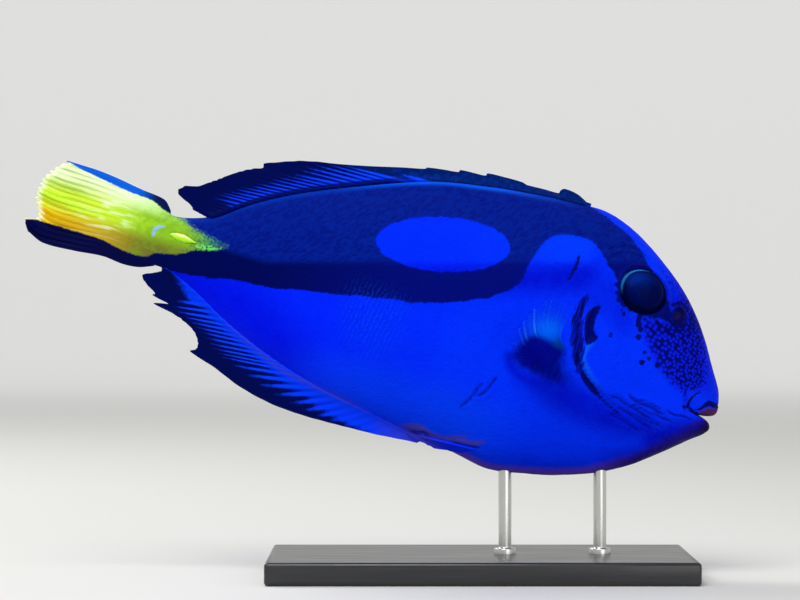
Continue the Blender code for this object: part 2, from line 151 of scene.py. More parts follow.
# Dark strokes, each point with the stroke's half width: the drip under the eye, the slit above the gill
# cover, the crack below it, the nostril's surround, the lip's fold, the mouth's line, the mark at its corner
# and the edge of the upper lip. In the slit, the crack, the lip's fold, the mouth's line and the lip's edge,
# which lie in creases, the dark is painted shade
DARK_STROKES = [
    [(31.7, 20.6, 0.9), (31.6, 18.4, 0.75), (31.3, 16.7, 0.85)],
    [(54.6, 31.4, 0.35), (54.8, 27.5, 0.55), (55.9, 22.9, 0.3)],
    [
        (46.4, 0.6, 0.7), (44, -1.9, 0.75), (41.4, -4.3, 0.95), (38.6, -6.2, 0.95), (36.4, -7.5, 0.5),
        (34, -8.8, 0.35), (31.5, -10, 0.35), (28.6, -11, 0.2),
    ],
    [
        (23.4, 21.2, 0.7), (20.8, 20.3, 0.6), (18.3, 20.8, 0.5), (17.8, 23, 0.35), (18.8, 26, 0.4),
        (20.9, 26.8, 0.5), (22.6, 25.6, 0.6),
    ],
    [
        (6.2, 2.6, 0.1), (7.4, 1.9, 0.3), (8.3, 0.8, 0.38), (8.9, -0.6, 0.36), (9.1, -1.9, 0.36),
        (9, -2.9, 0.4),
    ],
    [(9, -2.9, 0.35), (7.6, -3.5, 0.5), (5.6, -4.1, 0.5), (3.4, -4.4, 0.35)],
    [(10.5, -3.1, 0.45), (9.8, -3.3, 0.5)],
    [
        (6.4, -2.9, 0.2), (4.9, -2.1, 0.45), (3.6, -0.6, 0.75), (2.6, 0.1, 0.95), (1.2, 0, 0.9),
        (-1.4, -0.1, 1),
    ],
]
# Which strokes are creases too, and how deep
STROKE_DEPTHS = ((1, 0.35), (4, 0.4), (5, 0.4), (7, 0.15))
GILL_BLOTCH = [
    (43.9, 18.9), (45.8, 18), (47.4, 15.6), (47.3, 12.6), (46.4, 9.6), (45.4, 7.4), (44.6, 6.4), (43, 7.6),
    (42.2, 9.6), (43.5, 10.4), (44.3, 12.2), (44.3, 15.3),
]
GILL_SLIT = [
    (51.6, 11.5), (51.5, 14.6), (51.2, 17.4), (50.2, 19.6), (49, 20.9), (47.8, 20.4), (48.3, 17),
    (48.2, 13.6), (47.5, 10.6), (46.4, 8), (45.3, 5.8), (45.1, 3.4), (44.9, 1.4), (43.8, -0.6),
    (44.6, -2.4), (46.8, -0.2), (48.6, 3.6), (50.4, 7.6),
]
UPPER_LIP = [
    (-1.6, -0.75), (1, -0.9), (2.8, -1.3), (4, -2.4), (5.2, -3.2), (4.2, -4), (2, -4.2), (-1.6, -3.9),
]
LOWER_LIP = [(3.4, -4.8), (1.6, -5), (-0.6, -5.6), (-0.8, -7.4), (0.6, -7.2), (1.6, -6.3), (2.6, -5.6)]
# Painted shadow of the pectoral fin, on the flank round its root and on the fin's own root
PECTORAL_SHADOW = [
    (50.9, 1.8), (52, 2.6), (54, 2.9), (56, 3.6), (59, 4.1), (61, 4), (62.6, 3), (63.5, 1), (64.6, -0.8),
    (65, -3.4), (63, -5.4), (59.5, -5.9), (56, -6.4), (52, -6.9), (49.2, -6.9), (47.8, -5), (49.6, -3.6),
    (50.2, -1.6), (50.6, 0.2),
]
SPECKLED = [
    (31.5, 20), (30.2, 15.6), (27.6, 11.4), (22, 5.9), (17.7, 2.9), (12.2, -0.2), (10.6, -2.9), (9.6, -1.2),
    (9.7, 1.4), (7.6, 2.2), (5.6, 3.4), (5.2, 6.6), (6.4, 11), (8.6, 18), (11.6, 23.6), (16, 28.4),
    (20.4, 30.4), (22.6, 27), (22.2, 21.6), (26, 20.4),
]
# Line between light and shade on the fish, as its height at the snout, its slope and its lowest height. The
# blues and the band are paler above it
LIGHT_LINE = (46.3, -0.3057, 1.8)
# Painted shade, as deeper blue patches on the snout, cheek, throat, chin, rear flank and under the pectoral
# fin: strokes with their half widths, how softly they end and how deep they are
SHADE_STROKES = [
    ([(36, 17, 3), (42, 22, 5), (49, 24, 5)], 5, 0.55),
    ([(4, 5, 1), (9, 13, 4), (16, 22, 6), (22, 27, 6)], 4, 0.65),
    ([(18, -13, 2), (30, -13, 3.5), (42, -11.6, 4), (50, -9.5, 3.5), (60, -8.4, 1)], 6, 0.85),
    ([(0, -6.4, 1), (4, -8.6, 2.2), (10, -11.6, 2.4), (17, -15.4, 2.4)], 4.5, 1),
    ([(132, -22, 4), (152, -13, 6), (180, -8, 6)], 14, 0.95),
    ([(-1, 1.5, 0.8), (2, 3.2, 1.2), (4, 6, 0.8)], 2, 0.35),
    ([(66.5, -4, 0.8), (63.5, -7.6, 1), (58, -9.4, 1), (51, -8.6, 1.6)], 2.2, 0.9),
]
# Along the body: how wide and how bright the back's painted lit rim is, and how high the painted pink
# reflection along the belly's edge reaches
RIM_WIDTH = [(112, 0.9), (135, 1.2)]
RIM_LIGHT = [(56, 0), (72, 0.5), (86, 1.3), (112, 1.2), (130, 0.35), (150, 0.25), (166, 0.1)]
PINK_REFLECTION_DEPTH = [(0, 6), (8, 5.4), (20, 3.9), (35, 2.3), (60, 2), (90, 1.2)]
# Muted folds round the vent, and the line along the root of the anal fin
VENT = [
    [
        (66.2, -31.4, 0.3), (69, -32.8, 0.8), (73, -33.3, 0.8), (78, -34.2, 0.9), (82, -34, 0.8),
        (86, -33.2, 1.2), (89.6, -34.4, 1.1),
    ],
    [(71.6, -31.4, 0.2), (74, -32.6, 0.6), (76.4, -33.6, 0.6)],
    [(94, -36.8, 0.6), (90, -36.6, 1.3), (86.6, -36.4, 1.6), (84.6, -37, 0.8)],
]
SEAM = [
    (97, -34.4), (100, -33.7), (105, -32.5), (110, -31.7), (120, -30.3), (126, -29.5), (130, -28.7),
    (135, -27.1), (140, -25), (145, -22.8), (150, -20.5), (155, -17.9), (160, -15.2),
]

# Relief of the skin
COVER_EDGE = [
    (44.2, 20.5), (43.7, 18.5), (44.1, 15.3), (44.4, 13), (43.6, 10.8), (42.5, 9.5), (44.2, 6.8),
    (45.2, 4.6), (45.2, 2.8), (44.7, 0.8), (43.2, -0.7), (40, -3.7), (36, -5.9), (33.2, -8.4), (30.5, -10.2),
]
# Folds of the skin, as their line, depth and half width. A negative depth is a ridge
FOLDS = [
    ([(34, -6.4), (30.5, -6.6), (27, -7.8), (24, -8.4), (21.6, -9.2), (18, -9.6)], 0.42, 0.42),
    ([(28.5, -4), (25.6, -5.6), (22, -6.1), (19.5, -6.3), (17.2, -7.1), (15.2, -7.1)], 0.5, 0.42),
    ([(24.5, -4.9), (21.4, -5), (18.9, -5.4), (16.4, -6.1)], 0.25, 0.3),
    ([(19, -7.6), (16, -8.4), (12.4, -8.6)], 0.34, 0.45),
    ([(15.4, -5.6), (12.6, -6.4), (9.4, -6), (6.6, -6.3)], 0.3, 0.35),
    ([(31, -8.8), (26, -10), (21.5, -11.6), (17.5, -12.6)], 0.35, 0.45),
    ([(24, -9.6), (20, -10.6), (15.5, -10.8)], 0.28, 0.42),
    ([(33, -11.4), (27.4, -12.6), (21, -14.6)], 0.26, 0.5),
    ([(27, -7), (23.6, -7.2), (21, -7.9), (18.4, -8.5)], 0.26, 0.3),
    ([(40, 21), (36.5, 14), (34.5, 9), (34, 4)], 0.16, 0.5),
    ([(36, 19.5), (33.4, 14), (31.5, 9.5)], 0.12, 0.5),
    ([(47.2, 34.4), (45.4, 36.8), (41.6, 38.6), (37, 38.7), (33.4, 36.9)], 0.26, 0.4),
    ([(45.6, 33.6), (43.6, 35.6), (40.4, 37), (37, 37.2), (34.4, 36.2)], 0.22, 0.35),
    ([(48.4, 36.2), (46.4, 38.8), (42.6, 40.6), (38.6, 40.6), (34.8, 39)], 0.2, 0.4),
    ([(54, 40), (49.6, 40.8), (45.8, 42), (41.4, 41.9)], 0.14, 0.4),
    ([(67.6, -10.4), (68.9, -13.8), (70, -16.4), (72, -18.8)], 0.5, 0.5),
    ([(71.2, -13.6), (72.6, -16.6), (73.6, -19.6), (76, -23.6)], 0.5, 0.45),
    ([(66.4, -15.6), (68.2, -18.2), (70.6, -20.6)], 0.16, 0.45),
    ([(50.2, -0.8), (48.4, -2.4), (46.4, -4)], 0.18, 0.4),
    ([(48.8, 0.4), (46.6, -1.8), (44.4, -3.6)], 0.18, 0.4),
    ([(88.4, -34.8), (86, -34.8), (84, -34.1), (82, -34.9)], 0.6, 0.5),
    ([(85.2, -37), (83.4, -36), (82.2, -35)], 0.55, 0.5),
    ([(75, -34.4), (70.4, -34.3), (66.2, -33.5)], 0.45, 0.5),
    ([(181.2, -1.2), (181.9, 0.6), (181, 2.2), (178.8, 3.4)], -0.35, 0.5),
]
SPINE_GROOVE = [(178.4, 1.6), (172, 1.5), (162.5, 1.2)]

# Marks on the yellow of the stalk: a pale line in the groove ahead of the spine, and a painted highlight, a
# pale crescent, on the fold behind it
GROOVE = [(167.6, 0.2, 0.3), (165.4, 0.6, 0.6), (163, 1.0, 0.6), (160.4, 1.6, 0.2)]
HOOK_HIGHLIGHT = [(178.9, 3.1, 0.2), (180.2, 2.5, 0.45), (181.2, 1.3, 0.5), (181.3, 0.1, 0.35), (180.9, -0.8, 0.15)]

# Fins: along the base, the place of each ray's root and of its tip
DORSAL_RAYS = [
    (55, 56.6, 48.2), (56, 60, 49.8), (57.8, 64.4, 50.3), (58.6, 65.5, 49.4), (59.4, 65.7, 48.5),
    (63, 70.5, 48.3), (68, 76.8, 48), (68.8, 77.6, 48.4), (74, 83, 48.3), (79, 88.6, 47.9),
    (79.6, 88.8, 47.1), (83, 92.5, 46.8), (87, 96.9, 46.4), (87.6, 97.1, 45.7), (92, 102, 45),
    (97, 107, 44.1), (97.6, 107.3, 43.6), (100, 114, 42), (104, 124, 39.4), (108, 133.5, 37.2),
    (112, 140, 36), (116, 146, 34.4), (120.5, 152.3, 31.9), (123.6, 155.3, 30.6), (124.6, 155.1, 29.4),
    (128, 158, 28.2), (131.7, 160.8, 26.7), (137, 164.2, 24.3), (142, 167.4, 21.9), (146.5, 170.2, 19.8),
    (149.5, 172.1, 18.3), (151, 173.6, 17.7), (153, 176.6, 16.9), (154.8, 178.1, 15.3),
    (156.4, 177.8, 14.1), (158.2, 175.6, 12.9), (160, 173.2, 11.9), (161.4, 172.2, 10.8),
    (162.6, 170.2, 10.3), (163.4, 167.4, 10.6), (164, 164.8, 10.7),
]
# How many rays lie ahead of a place along the base, and how far up its rays the fin is blue there
DORSAL_STEPS = [
    (55, 0), (108, 9), (115, 10.9), (129, 15.4), (140, 19.3), (150, 23.5), (158, 27.7), (164, 31.5),
]
DORSAL_BLUE = [
    (55, 0.3), (56, 0), (59, -0.4), (96, -0.5), (100, 0.1), (104, 0.5), (108, 0.62), (112, 0.58),
    (116, 0.52), (124, 0.38), (137, 0.32), (146, 0.34), (151, 0.3), (155, 0.2), (157, 0), (160, -0.4),
    (164, -0.5),
]
ANAL_RAYS = [
    (83, 85, -37.8), (86, 91, -38.3), (90, 98, -39), (95, 105.5, -39.4), (100, 113.5, -39.8),
    (105, 122, -40), (110, 132, -39.4), (115, 142.5, -37.2), (120, 151.5, -33.9), (124.5, 159.9, -31.4),
    (127.5, 158.7, -30.2), (130.5, 158.4, -29), (134, 158.9, -27.4), (138, 160.4, -25.4),
    (142, 162.6, -23.9), (146, 165.8, -22.6), (150, 169.4, -21.5), (153.5, 175.2, -20.4),
    (155.5, 171.6, -19.3), (157.5, 176.2, -18.1), (159.5, 175.6, -17.4), (162, 178.2, -15.9),
    (165.5, 180.4, -14.3), (168.5, 181, -13.1), (171, 179.6, -12.4), (173, 176.8, -12.2),
    (174.5, 175.4, -11.2),
]
ANAL_STEPS = [(83, 0), (92, 2.5), (125, 13), (174.5, 30.2)]
ANAL_BLUE = [
    (83, 1.3), (89, 1.25), (92, 1), (98, 0.85), (105, 0.7), (110, 0.57), (120, 0.53), (124.5, 0.45),
    (130, 0.52), (138, 0.58), (146, 0.57), (150, 0.54), (153.5, 0.43), (158, 0.42), (162, 0.35),
    (168, 0.2), (171, 0.15), (174.5, 0.3),
]
# The tail fin's upper and lower edges, and how far back it ends from its lower corner, 0, to its upper, 1
TAIL_ROOT, TAIL_END = 178.5, 220.0
TAIL_UPPER = [
    (178.5, 8.3), (181, 10.6), (184, 11.4), (190.7, 11.9), (200, 13), (207.7, 13.6), (213.6, 13.7),
]
TAIL_LOWER = [
    (178.5, -9.3), (183, -11), (188, -11.5), (195, -11), (204.6, -12), (214.6, -12.4), (219.8, -10.4),
]
TAIL_EDGE = [
    (0, 218.6), (0.06, 219.6), (0.11, 220.2), (0.15, 220.1), (0.168, 217.6), (0.24, 217.3), (0.32, 217.9),
    (0.42, 219.4), (0.52, 219.6), (0.62, 219.5), (0.72, 218.8), (0.82, 217.4), (0.9, 215.6), (1, 213.4),
]
TAIL_STEPS = 16
# The pectoral fin's root, and its rays' tips with how far they stand out from the flank
PECTORAL_ROOT = ((51.2, 3.4), (54.8, -6.2))
PECTORAL_TIPS = [
    (53.6, 12.6, 29), (55.6, 15, 31.6), (58.4, 16.2, 32), (61.2, 15.2, 30), (63.6, 12.6, 26.4),
    (65.4, 8.8, 21.5), (66.6, 4.4, 15.5), (66.4, 0.4, 10.5), (65, -2.6, 7),
]
PECTORAL_STEPS = 15
PELVIC_ROOT = ((66.0, -34.2), (70.5, -36.3))
PELVIC_TIPS = [(89.0, -35.6), (87.6, -36.3), (84.0, -36.9), (79.5, -37.6)]
PELVIC_STEPS = 6
# The tail spine's middle, and half its length, width and height
SPINE_PLACE, SPINE_HALF = (172.1, 1.35), (4.3, 0.8, 1.15)

# Stand: the base's round corners, softened edges and the inset round its top, and the rods' collars
BASE_CORNER, BASE_EDGE, BASE_STEP = 10 * MM, 1.1 * MM, 2.2 * MM
COLLAR_HEIGHT, COLLAR_WALL, COLLAR_EDGE = 3.2 * MM, 1.4 * MM, 0.3 * MM
# Heights of the rings of edges round a rod: at its collar's top, just above it and near its foot
COLLAR_RINGS = (COLLAR_HEIGHT, 3.8 * MM, 1.2 * MM)
# How far a rod's ends go into the base and into the belly
ROD_IN_BASE, ROD_IN_BELLY = 1.5 * MM, 3 * MM
# Edges that are rounded off, and edges that stay crisp in the shading, by the angle across them
SHARP, CREASED = math.radians(40), math.radians(35)

# Studio, in metres: where the camera looks, the flat of the floor and the bend round it, and where the floor
# starts to let light through and where it is brightest
VIEW_CENTRE = (-24.6 * MM, 0, 85 * MM)
FLOOR_RADIUS, BEND_RADIUS, BEND_STEPS, BEND_STEP = 2.2, 1.2, 12, math.radians(7.5)
GLOW_FROM, GLOW_TO = 0.6, 2.6

# Lights, with their place and the length of their sides
LIGHTS = {
    "key": ((-0.25, -0.75, 1.1), 0.7), "fill": ((0.75, -1.3, 0.35), 0.9), "rim": ((-0.75, 0.65, 0.9), 0.5),
}

# A film of slime on the fin webs: a weak gloss, blue as the skin under it
WET_WEB = {"Specular_IOR_Level": 0.12, "Specular_Tint": (0.05, 0.25, 1.0, 1.0), "IOR": 1.36}
# What every node of a kind is set to
KIND_SETTINGS = {"Mix": {"data_type": "RGBA"}, "MapRange": {"interpolation_type": "SMOOTHSTEP"}}


def linear(hex_colour):
    """An sRGB hex colour as linear red, green, blue and an alpha of 1."""
    parts = [int(hex_colour[k : k + 2], 16) / 255 for k in (1, 3, 5)]
    return tuple(c / 12.92 if c <= 0.04045 else ((c + 0.055) / 1.055) ** 2.4 for c in parts) + (1.0,)


def smooth_line(points):
    """A function that reads a smooth curve through (x, value...) points at any x."""
    data = np.array(points, float)
    xs, ys = data[:, 0], data[:, 1:]
    slopes = np.empty_like(ys)
    slopes[1:-1] = (ys[2:] - ys[:-2]) / (xs[2:] - xs[:-2])[:, None]
    slopes[0] = (ys[1] - ys[0]) / (xs[1] - xs[0])
    slopes[-1] = (ys[-1] - ys[-2]) / (xs[-1] - xs[-2])

    def read(x):
        x = np.clip(np.asarray(x, float), xs[0], xs[-1])
        i = np.clip(np.searchsorted(xs, x, side="right") - 1, 0, len(xs) - 2)
        span = (xs[i + 1] - xs[i])[..., None]
        t = (x - xs[i])[..., None] / span
        value = (
            (2 * t**3 - 3 * t**2 + 1) * ys[i]
            + (t**3 - 2 * t**2 + t) * span * slopes[i]
            + (3 * t**2 - 2 * t**3) * ys[i + 1]
            + (t**3 - t**2) * span * slopes[i + 1]
        )
        return value[..., 0] if value.shape[-1] == 1 else value

    return read


def read_table(table, x):
    """A straight-line reading of (x, value) rows at any x."""
    return np.interp(x, *np.array(table, float).T)


back, belly = smooth_line(BACK), smooth_line(BELLY)
half_width, widest_at = smooth_line(HALF_WIDTH), smooth_line(WIDEST_AT)


def ease(x, low, high):
    """0 below low, 1 above high and a smooth rise between."""
    t = np.clip((x - low) / (high - low), 0, 1)
    return t * t * (3 - 2 * t)


def most(*shares):
    """The highest of several values at each point."""
    return np.maximum.reduce(shares)


def bell(off, width):
    """1 where off is 0, falling to nothing about two widths away."""
    return np.exp(-((off / width) ** 2))


def within(along, first, last):
    """1 along a line, rising from 0 over its first share and falling to 0 over its last."""
    return ease(along, 0, first) * ease(1 - along, 0, last)


def flank(s, h):
    """How far the body's side stands off the middle plane, in millimetres."""
    middle = widest_at(s)
    upper = h > middle
    edge = np.where(upper, back(s), belly(s))
    share = np.clip(np.abs((h - middle) / (edge - middle)), 0, 1)
    return half_width(s) * (1 - share**2) ** (np.where(upper, BACK_PINCH, BELLY_PINCH) / 2)


# From the fish's frame to the world: mirrored to swim towards +X, turned nose down, moved and scaled
POSE = Matrix.Translation(Vector(SNOUT_PLACE)) @ Matrix.Rotation(NOSE_DOWN, 4, "Y")
POSE = Matrix.Scale(MM, 4) @ (POSE @ Matrix.Diagonal((-1, 1, 1, 1)))
TO_WORLD, TO_FISH = np.array(POSE), np.array(POSE.inverted())


def to_world(places):
    """Places in the fish's frame, in millimetres, as points of the world, in metres."""
    return np.asarray(places, float) @ TO_WORLD[:3, :3].T + TO_WORLD[:3, 3]


def to_fish(points):
    """Points of the world as (s, y, h) in millimetres."""
    return np.asarray(points, float) @ TO_FISH[:3, :3].T + TO_FISH[:3, 3]


def rounded(points, closed=False, steps=5):
    """The points of a line with smooth stretches between them."""
    data = np.array(points, float)
    if closed:
        data = np.vstack([data[-2:], data, data[:2]])
    read = smooth_line([(k, *p) for k, p in enumerate(data)])
    first, last = (2, len(data) - 2) if closed else (0, len(data) - 1)
    return read(np.linspace(first, last, (last - first) * steps + 1))


def line_distance(line, s, h):
    """Distance in millimetres from places to a line, how far along it the nearest point is, and the side."""
    best = np.full(np.shape(s), 1e9)
    along = np.zeros(np.shape(s))
    side = np.ones(np.shape(s))
    starts, ends = line[:-1], line[1:]
    reach = np.concatenate([[0], np.cumsum(np.linalg.norm(ends - starts, axis=1))])
    for k, (a, b) in enumerate(zip(starts, ends)):
        ds, dh = b - a
        t = np.clip(((s - a[0]) * ds + (h - a[1]) * dh) / (ds * ds + dh * dh), 0, 1)
        off_s, off_h = s - a[0] - t * ds, h - a[1] - t * dh
        gap = np.hypot(off_s, off_h)
        closer = gap < best
        best = np.where(closer, gap, best)
        along = np.where(closer, (reach[k] + t * (reach[k + 1] - reach[k])) / reach[-1], along)
        side = np.where(closer, np.where(ds * off_h - dh * off_s >= 0, 1.0, -1.0), side)
    return best, along, side


def depth_inside(outline, s, h):
    """Distance in millimetres from places to a closed outline, positive inside it."""
    line = rounded(outline, closed=True)
    gap = line_distance(line, s, h)[0]
    inside = np.zeros(np.shape(s), bool)
    for (s0, h0), (s1, h1) in zip(line[:-1], line[1:]):
        crosses = (h0 > h) != (h1 > h)
        rise = h1 - h0 if h1 != h0 else 1e-9
        inside ^= crosses & (s < (s1 - s0) * (h - h0) / rise + s0)
    return np.where(inside, gap, -gap)


def oval_depth(place, half, tilt, s, h):
    """About how deep places lie inside a tilted oval, in millimetres."""
    ds, dh = s - place[0], h - place[1]
    along = ds * math.cos(tilt) + dh * math.sin(tilt)
    across = dh * math.cos(tilt) - ds * math.sin(tilt)
    share = np.hypot(along / half[0], across / half[1])
    slope = np.hypot(along / half[0] ** 2, across / half[1] ** 2) / np.maximum(share, 1e-6)
    return (1 - share) / np.maximum(slope, 1e-6)


def stroke_depth(points, s, h):
    """How deep places lie inside a stroke whose points carry its half width, in millimetres."""
    line = rounded(points)
    gap, along, _ = line_distance(line[:, :2], s, h)
    reach = np.concatenate([[0], np.cumsum(np.linalg.norm(np.diff(line[:, :2], axis=0), axis=1))])
    return np.interp(along, reach / reach[-1], line[:, 2]) - gap


def seam_share(s, h):
    """1 on the line along the root of the anal fin, fading to its sides and its ends."""
    gap, along, _ = line_distance(rounded(SEAM), s, h)
    return bell(gap, 0.7) * within(along, 0.2, 0.4)


def patch(s, h, start_s, end_s, low, high, soft_s, soft_h):
    """1 inside a box of distances and heights, falling softly to 0 across its sides."""
    return (
        ease(s, start_s - soft_s / 2, start_s + soft_s / 2) * ease(end_s - s, -soft_s / 2, soft_s / 2)
        * ease(h, low - soft_h / 2, low + soft_h / 2) * ease(high - h, -soft_h / 2, soft_h / 2)
    )


def uneven(places, size, seed):
    """Smooth noise from -1 to 1 at places in millimetres, with lumps of about a given size."""
    shift = Vector((seed * 17.3, seed * 5.1, seed * 9.7))
    return np.array([noise.noise(Vector(p) / size + shift) for p in places])


def coordinates(piece):
    """The places of a mesh's points as an array of rows."""
    points = np.empty(len(piece.data.vertices) * 3, np.float32)
    piece.data.vertices.foreach_get("co", points)
    return points.reshape(-1, 3).astype(float)


def set_coordinates(piece, points):
    """Moves a mesh's points to the rows of an array."""
    piece.data.vertices.foreach_set("co", np.asarray(points, np.float32).ravel())
    piece.data.update()


def normals(piece):
    """The direction that the surface faces at each point."""
    rows = np.empty(len(piece.data.vertices) * 3, np.float32)
    piece.data.vertex_normals.foreach_get("vector", rows)
    return rows.reshape(-1, 3).astype(float)


def lay_out(piece, s, y, h):
    """Moves a mesh's points to places of the fish's frame."""
    set_coordinates(piece, to_world(np.stack([s, y, h], 1)))


def note(piece, **values):
    """Stores a value, or a row of three, for each point under a name, for the materials to read."""
    for name, rows in values.items():
        kind, part = ("FLOAT", "value") if np.ndim(rows) == 1 else ("FLOAT_VECTOR", "vector")
        layer = piece.data.attributes.get(name) or piece.data.attributes.new(name, kind, "POINT")
        layer.data.foreach_set(part, np.asarray(rows, np.float32).ravel())


def noted(piece, name):
    """Reads back a stored value for each point."""
    values = np.empty(len(piece.data.vertices), np.float32)
    piece.data.attributes[name].data.foreach_get("value", values)
    return values.astype(float)


def start(name, primitive, **settings):
    """Adds a primitive with nothing else selected, and names it."""
    if bpy.context.object and bpy.context.object.mode != "OBJECT":
        bpy.ops.object.mode_set(mode="OBJECT")
    bpy.ops.object.select_all(action="DESELECT")
    primitive(**settings)
    piece = bpy.context.object
    piece.name = piece.data.name = name
    return piece


def apply_modifier(piece, kind, **settings):
    """Adds a modifier with its settings and applies it."""
    added = piece.modifiers.new(kind.title(), kind)
    for name, value in settings.items():
        setattr(added, name, value)
    bpy.context.view_layer.objects.active = piece
    bpy.ops.object.modifier_apply(modifier=added.name)


def edit_whole():
    """Goes into edit mode with the whole mesh selected."""
    bpy.ops.object.mode_set(mode="EDIT")
    bpy.ops.mesh.select_all(action="SELECT")


def face_outwards():
    """Turns every face of the mesh that is being made outwards, and leaves it in object mode."""
    edit_whole()
    bpy.ops.mesh.normals_make_consistent(inside=False)
    bpy.ops.object.mode_set(mode="OBJECT")


def soften(piece, width, segments):
    """Rounds the sharp edges of a turned or sawn piece."""
    apply_modifier(piece, "BEVEL", width=width, segments=segments, limit_method="ANGLE", angle_limit=SHARP)


def finish_piece(piece, material, slot, *replaced):
    """Shades a finished mesh smooth, gives it its material and ties it to the solids."""
    bpy.ops.object.select_all(action="DESELECT")
    piece.select_set(True)
    bpy.context.view_layer.objects.active = piece
    bpy.ops.object.shade_smooth()
    piece.data.materials.clear()
    piece.data.materials.append(material)
    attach(piece, BODY)
    if replaced:
        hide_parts(*replaced)


def plug(node, *values, **named):
    """Fills a node's inputs, in order or by name, with values or with the outputs of other nodes.

    A text is a colour's hex value, or the name of a value that the mesh stores for its points.
    """
    live = [socket for socket in node.inputs if socket.enabled]
    by_name = [(node.inputs[name.replace("_", " ")], value) for name, value in named.items()]
    for socket, value in [*zip(live, values), *by_name]:
        if isinstance(value, str) and value.startswith("#"):
            value = linear(value)
        elif isinstance(value, str):
            stored = node.id_data.nodes.new("ShaderNodeAttribute")
            stored.attribute_name = value
            value = stored.outputs["Vector" if socket.type == "VECTOR" else "Fac"]
        if isinstance(value, bpy.types.NodeSocket):
            node.id_data.links.new(value, socket)
        else:
            socket.default_value = value


def add_node(tree, kind, *values, output=None, **named):
    """Adds a node and returns its first output, or the one asked for.

    A kind in capitals is an operation of the Math node. Names in small letters are the node's settings, and
    the others are its inputs.
    """
    node = tree.nodes.new("ShaderNodeMath" if kind.isupper() else f"ShaderNode{kind}")
    settings = {"operation": kind} if kind.isupper() else dict(KIND_SETTINGS.get(kind, {}))
    settings.update({name: value for name, value in named.items() if name.islower()})
    for name, value in settings.items():
        setattr(node, name, value)
    plug(node, *values, **{name: value for name, value in named.items() if not name.islower()})
    return node.outputs[output] if output is not None else next(s for s in node.outputs if s.enabled)


def new_material(name, **constants):
    """A material with constants on its shader, the function that adds nodes to it, and the shader."""
    old = bpy.data.materials.get(name)
    if old:
        bpy.data.materials.remove(old)
    material = bpy.data.materials.new(name)
    material.use_nodes = True
    shader = material.node_tree.nodes["Principled BSDF"]
    plug(shader, **constants)
    return material, partial(add_node, material.node_tree), shader


def paint(add, colour, *layers):
    """A colour with others laid over it in turn, each with the share that it covers."""
    for share, over in layers:
        colour = add("Mix", share, colour, over)
    return colour


def lumps(add, scale):
    """Noise about 0 over the fish's millimetres: the greater the scale, the finer its lumps."""
    return add("SUBTRACT", add("TexNoise", Vector="fish", Scale=scale, Detail=2.0), 0.5)


def ray_wave(add):
    """1 on each ray of a fin and -1 halfway to the next."""
    return add("COSINE", add("MULTIPLY", "ray", math.tau))


def size_property(name, description, default):
    """A distance in metres that a user can change."""
    return bpy.props.FloatProperty(
        name=name, description=description, default=default, subtype="DISTANCE", unit="LENGTH"
    )


def colour_property(name, description, hex_colour):
    """A colour that a user can change, given as an sRGB hex value."""
    return bpy.props.FloatVectorProperty(
        name=name, description=description, subtype="COLOR", size=4, min=0, max=1, default=linear(hex_colour)
    )


class TangSizes(bpy.types.PropertyGroup):
    """Sizes of the fish's pieces"""

    skin_levels: bpy.props.IntProperty(
        name="Skin detail", description="Times the skin is subdivided", default=2
    )
    eye_radius: size_property("Eye radius", "Radius of the eyeball's disc", 7.15 * MM)
    eye_bulge: size_property("Eye bulge", "Half the eyeball's depth", 4.3 * MM)
    fin_wall: size_property("Fin wall", "Thickness of a fin between its rays", 0.4 * MM)
    ray_height: size_property("Ray height", "How far a ray stands off its fin", 0.16 * MM)
    tail_fold: size_property("Tail folds", "How deep the tail fin is folded at each ray", 0.42 * MM)


class TangColours(bpy.types.PropertyGroup):
    """Colours of the fish and its stand"""

    body: colour_property("Body", "Blue of the flanks", "#012df6")
    azure: colour_property("Azure", "Lighter blue of the lit rims and crests", "#0a58f0")
    # The deeper blue lays painted shade on the skin, and darkens its speckles and rear
    deep: colour_property("Deep blue", "Deeper blue of the snout, the throat and behind the gills", "#010cc4")
    band_upper: colour_property("Band, upper", "Dark band where the light falls on it", "#031b86")
    band_lower: colour_property("Band, lower", "Dark band in its own shade", "#02086c")
    band_rear: colour_property("Band, rear", "Dark band on the tail stalk", "#01054a")
    # On the tail and its stalk, the pale upper part and the gold and olive lower parts are partly painted
    # light from above and painted shade below
    yellow: colour_property("Yellow", "Middle of the tail", "#c6ec36")
    yellow_pale: colour_property("Yellow, pale", "Upper part of the tail", "#e6fdc8")
    gold: colour_property("Gold", "Lower part of the tail", "#c9a71e")
    green: colour_property("Green", "Yellow wedge on the tail stalk", "#86bc1c")
    olive: colour_property("Olive", "Lower part of the wedge", "#6e7024")
    lip: colour_property("Lip", "Lips", "#44224e")
    # The plum is a painted pink reflection along the belly's edge; the chin's dark purple is painted shade
    plum: colour_property("Plum", "Edge of the belly", "#5c3cae")
    chin: colour_property("Chin", "Chin and throat edge", "#1b0550")
    seam: colour_property("Seam", "Line along the root of the anal fin", "#4440b4")
    nostril: colour_property("Nostril", "Nostril rim", "#1c1450")
    fin_blue: colour_property("Fin blue", "Root of the dorsal and anal fins", "#0434f4")
    fin_navy: colour_property("Fin navy", "Margins of the fins", "#020748")
    eye: colour_property("Eye", "Iris", "#010544")
    steel: colour_property("Rods", "Stainless steel of the rods", "#c9c9c6")
    lacquer: colour_property("Base", "Black lacquer of the base", "#121316")
    floor: colour_property("Floor", "Pale floor of the studio", "#dcdcd9")


def ring_places(top, side, bottom, turns):
    """One ring round the body, which leans back at the flanks on the face."""
    level, rise = np.cos(turns), np.sin(turns)
    end = np.where(rise > 0, top, bottom)
    s = end + (side - end) * np.abs(level) ** FACE_BEND
    edge = np.where(rise > 0, back(end), belly(end))
    middle = widest_at(np.full_like(s, side))
    h = middle + (edge - middle) * np.abs(rise)
    return np.stack([s, flank(s, h) * np.sign(level), h], 1)


